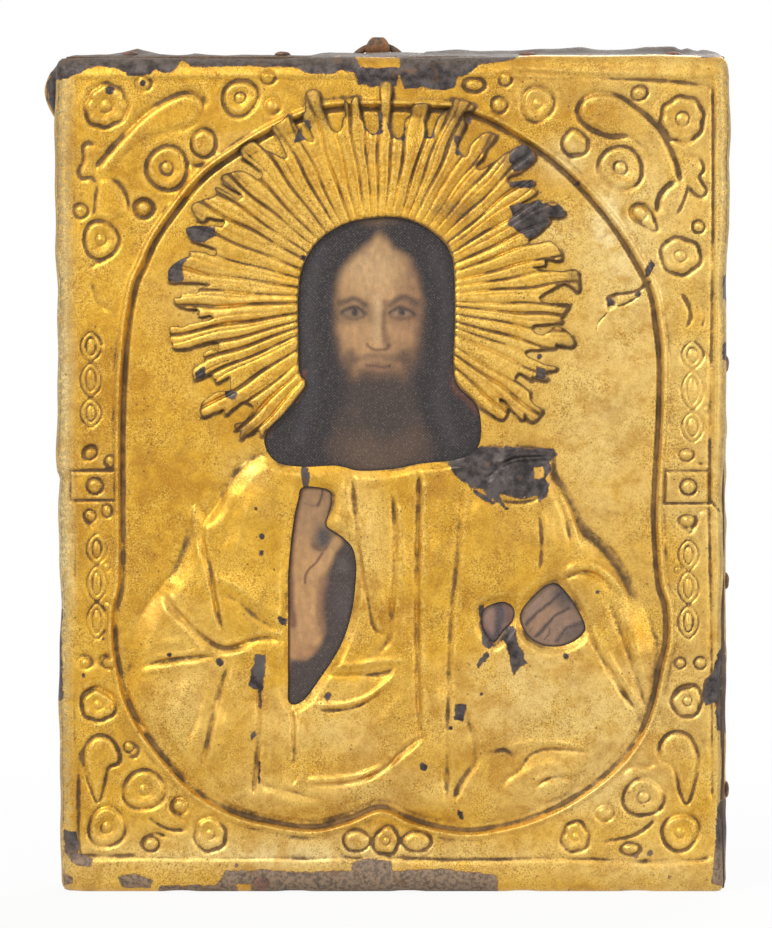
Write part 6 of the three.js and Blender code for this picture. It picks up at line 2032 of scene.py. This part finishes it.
def ring():
    """The wire ring, a little uneven, its two ends butted at the foot"""
    wire = 0.95
    around = 96
    sides = 18
    points = []
    for k in range(around):
        a = 2 * math.pi * k / around
        foot = math.degrees(abs((a - 1.5 * math.pi + math.pi) % (2 * math.pi) - math.pi))
        butt = 0.16 * math.exp(-(foot / 1.6) ** 2)
        uneven = 0.5 + 0.5 * noise.noise(Vector((3 * math.cos(a), 3 * math.sin(a), 7)))
        size = wire - 0.06 * uneven - butt
        reach = 8.5 - 0.12 * (0.5 + 0.5 * math.sin(3 * a + 1))
        for i in range(sides):
            b = 2 * math.pi * i / sides
            r = reach + size * math.cos(b)
            points.append((strap_middle + r * math.cos(a), strap_pivot[0] + size * math.sin(b),
                           ring_height + r * math.sin(a)))
    mesh = bpy.data.meshes.new("wire_ring")
    mesh.from_pydata((np.array(points) / 1000).tolist(), [], band_faces(around, sides, closed=True))
    turned_out(mesh)
    mesh.polygons.foreach_set("use_smooth", np.ones(len(mesh.polygons), bool))
    return finished("wire_ring", mesh, ring_material(), body="ring", nodes=("hanger_ring",))


def nail_tree():
    """Nodes that set a hammered nail at each point, turned to face out, with a head of its own shape"""
    tree = bpy.data.node_groups.new("hammered_nails", "GeometryNodeTree")
    sockets = tree.interface
    sockets.new_socket("Geometry", in_out="INPUT", socket_type="NodeSocketGeometry")
    sizes = {"Head Radius": 0.0022, "Head Height": 0.0008, "Shank": 0.007, "Uneven": 0.0005}
    for name, value in sizes.items():
        sockets.new_socket(name, in_out="INPUT", socket_type="NodeSocketFloat").default_value = value
    sockets.new_socket("Material", in_out="INPUT", socket_type="NodeSocketMaterial")
    sockets.new_socket("Geometry", in_out="OUTPUT", socket_type="NodeSocketGeometry")
    n = Nodes(tree)
    given = n.add("NodeGroupInput").outputs
    head = n.add("GeometryNodeMeshUVSphere", {"Segments": 28, "Rings": 14})
    size = n.add("ShaderNodeCombineXYZ", {"X": given["Head Radius"], "Y": given["Head Radius"],
                                          "Z": given["Head Height"]})
    head = n.add("GeometryNodeTransform", {"Geometry": head.outputs["Mesh"], "Scale": size.outputs[0]})
    shank = n.add("GeometryNodeMeshCone", {"Vertices": 10, "Radius Top": 0.0006, "Radius Bottom": 0.0002,
                                           "Depth": given["Shank"]})
    low = n.add("ShaderNodeCombineXYZ", {"Z": n.calc("MULTIPLY", given["Shank"], -1.0)})
    shank = n.add("GeometryNodeTransform", {"Geometry": shank.outputs["Mesh"],
                                            "Translation": low.outputs[0]})
    nail = n.add("GeometryNodeJoinGeometry")
    for part in (head, shank):
        n.set(nail.inputs[0], part.outputs[0])
    facing = n.add("GeometryNodeInputNamedAttribute", {"Name": "facing"}, data_type="FLOAT_VECTOR")
    turn = n.add("FunctionNodeAlignRotationToVector", {"Vector": facing.outputs["Attribute"]}, axis="Z")
    spread = n.add("GeometryNodeInstanceOnPoints", {
        "Points": given["Geometry"], "Instance": nail.outputs[0], "Rotation": turn.outputs[0]})
    real = n.add("GeometryNodeRealizeInstances", {0: spread.outputs[0]})
    dents = n.add("ShaderNodeTexNoise", {"Scale": 420.0})
    dents = n.add("ShaderNodeVectorMath", {0: dents.outputs["Color"], 1: (0.5, 0.5, 0.5)},
                  operation="SUBTRACT")
    amount = n.add("ShaderNodeVectorMath", {0: dents.outputs[0], "Scale": given["Uneven"]},
                   operation="SCALE")
    worn = n.add("GeometryNodeSetPosition", {"Geometry": real.outputs[0], "Offset": amount.outputs[0]})
    dressed = n.add("GeometryNodeSetMaterial", {"Geometry": worn.outputs[0], "Material": given["Material"]})
    n.add("NodeGroupOutput", {"Geometry": dressed.outputs[0]})
    return tree


cover_nail_radius = 0.0022
hanger_nail_radius = 0.00155
nail_back_limit = 0.01295


def nail_set(name, places, facings, radius, nodes):
    """One piece with a nail at each place"""
    points = bpy.data.meshes.new(name)
    points.from_pydata((np.array(places) / 1000).tolist(), [], [])
    attribute = points.attributes.new("facing", "FLOAT_VECTOR", "POINT")
    attribute.data.foreach_set("vector", np.array(facings, np.float32).ravel())
    tree = bpy.data.node_groups.get("hammered_nails") or nail_tree()
    mesh = grown_by_nodes(name, points, tree, Material=nail_material(), **{"Head Radius": radius})
    place = np.zeros(len(mesh.vertices) * 3)
    mesh.vertices.foreach_get("co", place)
    place = place.reshape(-1, 3)
    place[:, 0] = np.clip(place[:, 0], -right_limit / 1000, right_limit / 1000)
    place[:, 1] = np.minimum(place[:, 1], nail_back_limit)
    mesh.vertices.foreach_set("co", place.ravel())
    mesh.update()
    smooth_shaded(mesh, 50)
    return finished(name, mesh, nail_material(), nodes=nodes)


def nails():
    """The rusty nails round the cover's edge and those that hold the hanger"""
    depth = -(painted_plane + nail_depth)
    places = []
    facings = []
    for side in (-1, 1):
        for height in side_nail_heights:
            places.append((side * 88.0, depth, height))
            facings.append((side, 0, 0))
    for place in top_nail_places:
        places.append((place, depth, 221.9))
        facings.append((0, 0, 1))
    tilt = math.radians(35)
    places.append(bottom_nail_place)
    facings.append((0, -math.cos(tilt), -math.sin(tilt)))
    names = [f"cover_nail_{side}_{k}" for side in ("left", "right", "top") for k in range(1, 5)]
    nail_set("cover_nails", places, facings, cover_nail_radius, names + ["cover_nail_bottom"])
    names = ["hanger_nail_1", "hanger_nail_2"]
    nail_set("hanger_nails", hanger_nail_places, [(0, 1, 0)] * 2, hanger_nail_radius, names)


# Floor, lights and camera

def lit_ground():
    """A plain pale floor that the camera sees as white but for the object's soft shadow"""
    mesh = bpy.data.meshes.new("floor")
    half = 4.0
    corners = [(-half, -half, 0), (half, -half, 0), (half, half, 0), (-half, half, 0)]
    mesh.from_pydata(corners, [], [(0, 1, 2, 3)])
    floor = bpy.data.objects.new("floor", mesh)
    bpy.context.scene.collection.objects.link(floor)
    s = Shading("pale_floor")
    colour = s.blend(s.noise(400, 2), (0.80, 0.80, 0.80), (0.83, 0.83, 0.83))
    rough = s.step(s.noise(90, 2), 0.3, 0.7, 0.7, 0.85)
    mesh.materials.append(s.done(colour=colour, rough=rough, specular=0.2))
    far = s.add("ShaderNodeVectorMath", {0: s.place}, operation="LENGTH").outputs["Value"]
    white = s.add("ShaderNodeEmission", {"Color": (1.0, 1.0, 1.0)})
    output = next(node for node in s.tree.nodes if node.type == "OUTPUT_MATERIAL")
    lit = output.inputs["Surface"].links[0].from_socket
    share = s.times(s.seen(), s.step(far, 0.08, 0.6, 0.925, 1.0))
    mixed = s.add("ShaderNodeMixShader", {0: share, 1: lit, 2: white.outputs[0]})
    s.set(output.inputs["Surface"], mixed.outputs[0])
    return floor


def soft_lamp(name, place, aim, size, power, tint):
    """A soft square lamp turned to a place"""
    lamp = bpy.data.lights.new(name, "AREA")
    lamp.shape = "RECTANGLE"
    lamp.size = size[0]
    lamp.size_y = size[1]
    lamp.energy = power
    lamp.color = tint
    holder = bpy.data.objects.new(name, lamp)
    bpy.context.scene.collection.objects.link(holder)
    holder.location = place
    holder.rotation_euler = (Vector(aim) - Vector(place)).to_track_quat("-Z", "Y").to_euler()
    return holder


def white_world(strength):
    """White behind everything that is seen or mirrored, and a weaker even light on the object"""
    world = bpy.data.worlds.new("white")
    bpy.context.scene.world = world
    world.use_nodes = True
    n = Nodes(world.node_tree)
    backdrop = n.add("ShaderNodeBackground", {"Color": (1.0, 1.0, 1.0), "Strength": 1.0})
    room = n.add("ShaderNodeBackground", {"Color": (0.95, 0.97, 1.0), "Strength": strength})
    mixed = n.add("ShaderNodeMixShader", {0: n.seen(), 1: room.outputs[0], 2: backdrop.outputs[0]})
    n.add("ShaderNodeOutputWorld", {"Surface": mixed.outputs[0]})


def stage():
    """The floor, the lamps, the white world and the camera in front"""
    looks = bpy.context.scene.icon_stage
    lit_ground()
    white_world(looks.room_light)
    aim = (0, 0, 0.11)
    soft_lamp("key", (-0.75, -1.25, 1.15), aim, (0.55, 0.45), looks.key_light, (1.0, 0.97, 0.92))
    soft_lamp("side", (1.3, -1.1, 0.55), aim, (0.9, 0.9), looks.side_light, (0.94, 0.97, 1.0))
    soft_lamp("behind", (0.5, 1.3, 0.9), aim, (1.0, 0.8), looks.back_light, (1.0, 1.0, 1.0))
    camera = bpy.data.cameras.new("camera")
    camera.lens = 100
    camera.sensor_fit = "AUTO"
    camera.sensor_width = 24
    camera.clip_start = 0.05
    holder = bpy.data.objects.new("camera", camera)
    bpy.context.scene.collection.objects.link(holder)
    holder.location = (-0.0024, -(painted_plane + 1.0 + camera_distance) / 1000, camera_height / 1000)
    holder.rotation_euler = (math.pi / 2, 0, 0)
    bpy.context.scene.camera = holder
    bpy.context.scene.view_settings.view_transform = "Standard"


# The add-on: its settings, its steps and its panel

def number(name, description, default, least, most, **kind):
    """A number that the panel shows"""
    return bpy.props.FloatProperty(name=name, description=description, default=default,
                                   min=least, max=most, **kind)


def colour(name, description, default):
    """A colour that the panel shows"""
    return bpy.props.FloatVectorProperty(name=name, description=description, default=default,
                                         subtype="COLOR", min=0, max=1)


in_metres = {"subtype": "DISTANCE", "unit": "LENGTH"}
in_watts = {"unit": "POWER"}


class IconCover(bpy.types.PropertyGroup):
    """Sizes of the stamped cover"""
    rib_height: number("Arch moulding", "How far the moulding round the arch stands out",
                       0.0009, 0.0002, 0.0016, **in_metres)
    fold_depth: number("Fold depth", "Depth of the robe's folds, as a factor", 1.0, 0.2, 1.3)
    ornament_depth: number("Ornament depth", "Depth of the border's ornaments, as a factor", 1.0, 0.2, 1.3)
    spacing: number("Fineness", "Distance between the points of the relief",
                    0.00037, 0.0003, 0.002, **in_metres)


class IconHalo(bpy.types.PropertyGroup):
    """Sizes of the halo plate"""
    sheet: number("Sheet", "Thickness of the plate", 0.00035, 0.0002, 0.0006, **in_metres)
    flute_height: number("Flute height", "Height of a full flute's crown",
                         0.00075, 0.0001, 0.0012, **in_metres)
    lift: number("Lift", "Gap between the plate and the cover", 0.00015, 0.00005, 0.0004, **in_metres)


class IconFinish(bpy.types.PropertyGroup):
    """Colours of the metal, and how worn it looks"""
    cover_gold: colour("Cover gold", "Main colour of the cover's lacquer", (0.70, 0.38, 0.036))
    halo_gold: colour("Halo gold", "Main colour of the halo's lacquer", (0.69, 0.37, 0.036))
    bare_sheet: colour("Bare sheet", "Lighter colour of the sheet where the lacquer has gone",
                       (0.125, 0.105, 0.097))
    # This factor scales the brown dirt in the grooves together with the painted shadow round the halo plate
    # and along its edges
    grime: number("Grime", "Brown dirt in the grooves, as a factor", 1.0, 0, 1.5)
    wear: number("Wear", "How far the bare patches spread, with 0.5 as in the photograph", 0.5, 0.3, 0.7)


class IconStage(bpy.types.PropertyGroup):
    """Strength of the lights"""
    key_light: number("Key light", "Power of the lamp at the upper left", 16.0, 0, 100, **in_watts)
    side_light: number("Side light", "Power of the lamp at the right", 5.5, 0, 100, **in_watts)
    back_light: number("Back light", "Power of the lamp behind", 14.0, 0, 100, **in_watts)
    room_light: number("Room light", "Strength of the even light all round", 0.42, 0, 2)


halo_spacing = 0.33


def cover_spacing():
    return bpy.context.scene.icon_cover.spacing * 1000


class IconBorder(bpy.types.Operator):
    """Make the stamped border of the cover in two pieces"""
    bl_idname = "icon.border"
    bl_label = "Stamped border"

    def execute(self, context):
        marks = relief()
        height = np.broadcast_to(raster_y[:, None], marks["height"].shape)
        border = np.minimum(-marks["arch"], (marks["share"] - bend_start) * side_bend)
        split = spot([(0, border_seam_px)])[0, 1]
        spacing = cover_spacing() * 1.12
        stamped_piece("cover_border_upper", np.minimum(border, height - split), spacing, ("cover_sheet",))
        stamped_piece("cover_border_lower", np.minimum(border, split - height), spacing, ("cover_sheet",))
        return {"FINISHED"}


class IconField(bpy.types.Operator):
    """Make the plain field inside the arch"""
    bl_idname = "icon.field"
    bl_label = "Field inside the arch"

    def execute(self, context):
        marks = relief()
        region = np.minimum(marks["arch"], np.minimum(-marks["robe"], -marks["openings"]))
        stamped_piece("cover_field", region, cover_spacing(), ("cover_sheet",))
        return {"FINISHED"}


class IconRobe(bpy.types.Operator):
    """Make the robe stamped into the cover"""
    bl_idname = "icon.robe"
    bl_label = "Stamped robe"

    def execute(self, context):
        marks = relief()
        region = np.minimum(marks["robe"], np.minimum(-marks["openings"], marks["arch"]))
        stamped_piece("cover_robe", region, cover_spacing(), ("cover_sheet",))
        return {"FINISHED"}


class IconEdge(bpy.types.Operator):
    """Make the cover's bent edge, its skirt and the corner that stands out"""
    bl_idname = "icon.edge"
    bl_label = "Bent edge and skirt"

    def execute(self, context):
        cover_edge()
        corner_fold()
        return {"FINISHED"}


class IconHaloPlate(bpy.types.Operator):
    """Make the fluted halo plate"""
    bl_idname = "icon.halo"
    bl_label = "Halo plate"

    def execute(self, context):
        marks = halo_relief()
        spacing = halo_spacing
        stamped_piece("halo_rays", marks["halo"], spacing, ("halo_plate",), "halo_", halo_underside,
                      halo_material())
        return {"FINISHED"}


class IconPainting(bpy.types.Operator):
    """Make the painting that shows through the openings"""
    bl_idname = "icon.painting"
    bl_label = "Painting behind the openings"

    def execute(self, context):
        painting()
        return {"FINISHED"}


class IconBoard(bpy.types.Operator):
    """Make the wooden board and its battens"""
    bl_idname = "icon.board"
    bl_label = "Board and battens"

    def execute(self, context):
        board()
        battens()
        return {"FINISHED"}


class IconHanger(bpy.types.Operator):
    """Make the hanger's strap and its ring"""
    bl_idname = "icon.hanger"
    bl_label = "Hanger and ring"

    def execute(self, context):
        strap()
        ring()
        return {"FINISHED"}


class IconNails(bpy.types.Operator):
    """Make the nails of the cover and of the hanger"""
    bl_idname = "icon.nails"
    bl_label = "Nails"

    def execute(self, context):
        nails()
        return {"FINISHED"}


class IconStageLights(bpy.types.Operator):
    """Set up the floor, the lamps and the camera"""
    bl_idname = "icon.stage"
    bl_label = "Floor, lamps and camera"

    def execute(self, context):
        stage()
        return {"FINISHED"}


steps = (IconBorder, IconField, IconRobe, IconEdge, IconHaloPlate, IconPainting, IconBoard, IconHanger,
         IconNails, IconStageLights)
settings = {"icon_cover": IconCover, "icon_halo": IconHalo, "icon_finish": IconFinish,
            "icon_stage": IconStage}


class IconPanel(bpy.types.Panel):
    """Lists the settings and the steps that make the icon"""
    bl_idname = "VIEW3D_PT_icon"
    bl_label = "Orthodox icon"
    bl_space_type = "VIEW_3D"
    bl_region_type = "UI"
    bl_category = "Icon"

    def draw(self, context):
        for name, group in settings.items():
            box = self.layout.box()
            box.label(text=group.__doc__)
            for key in group.__annotations__:
                box.prop(getattr(context.scene, name), key)
        for step in steps:
            self.layout.operator(step.bl_idname)


def register():
    for group in settings.values():
        bpy.utils.register_class(group)
    for name, group in settings.items():
        setattr(bpy.types.Scene, name, bpy.props.PointerProperty(type=group))
    for step in steps:
        bpy.utils.register_class(step)
    bpy.utils.register_class(IconPanel)


def unregister():
    bpy.utils.unregister_class(IconPanel)
    for step in reversed(steps):
        bpy.utils.unregister_class(step)
    for name, group in settings.items():
        delattr(bpy.types.Scene, name)
        bpy.utils.unregister_class(group)


def main():
    register()
    bpy.ops.icon.border()
    bpy.ops.icon.field()
    bpy.ops.icon.robe()
    bpy.ops.icon.edge()
    bpy.ops.icon.halo()
    bpy.ops.icon.painting()
    bpy.ops.icon.board()
    bpy.ops.icon.hanger()
    bpy.ops.icon.nails()
    bpy.ops.icon.stage()


if __name__ == "__main__":
    main()
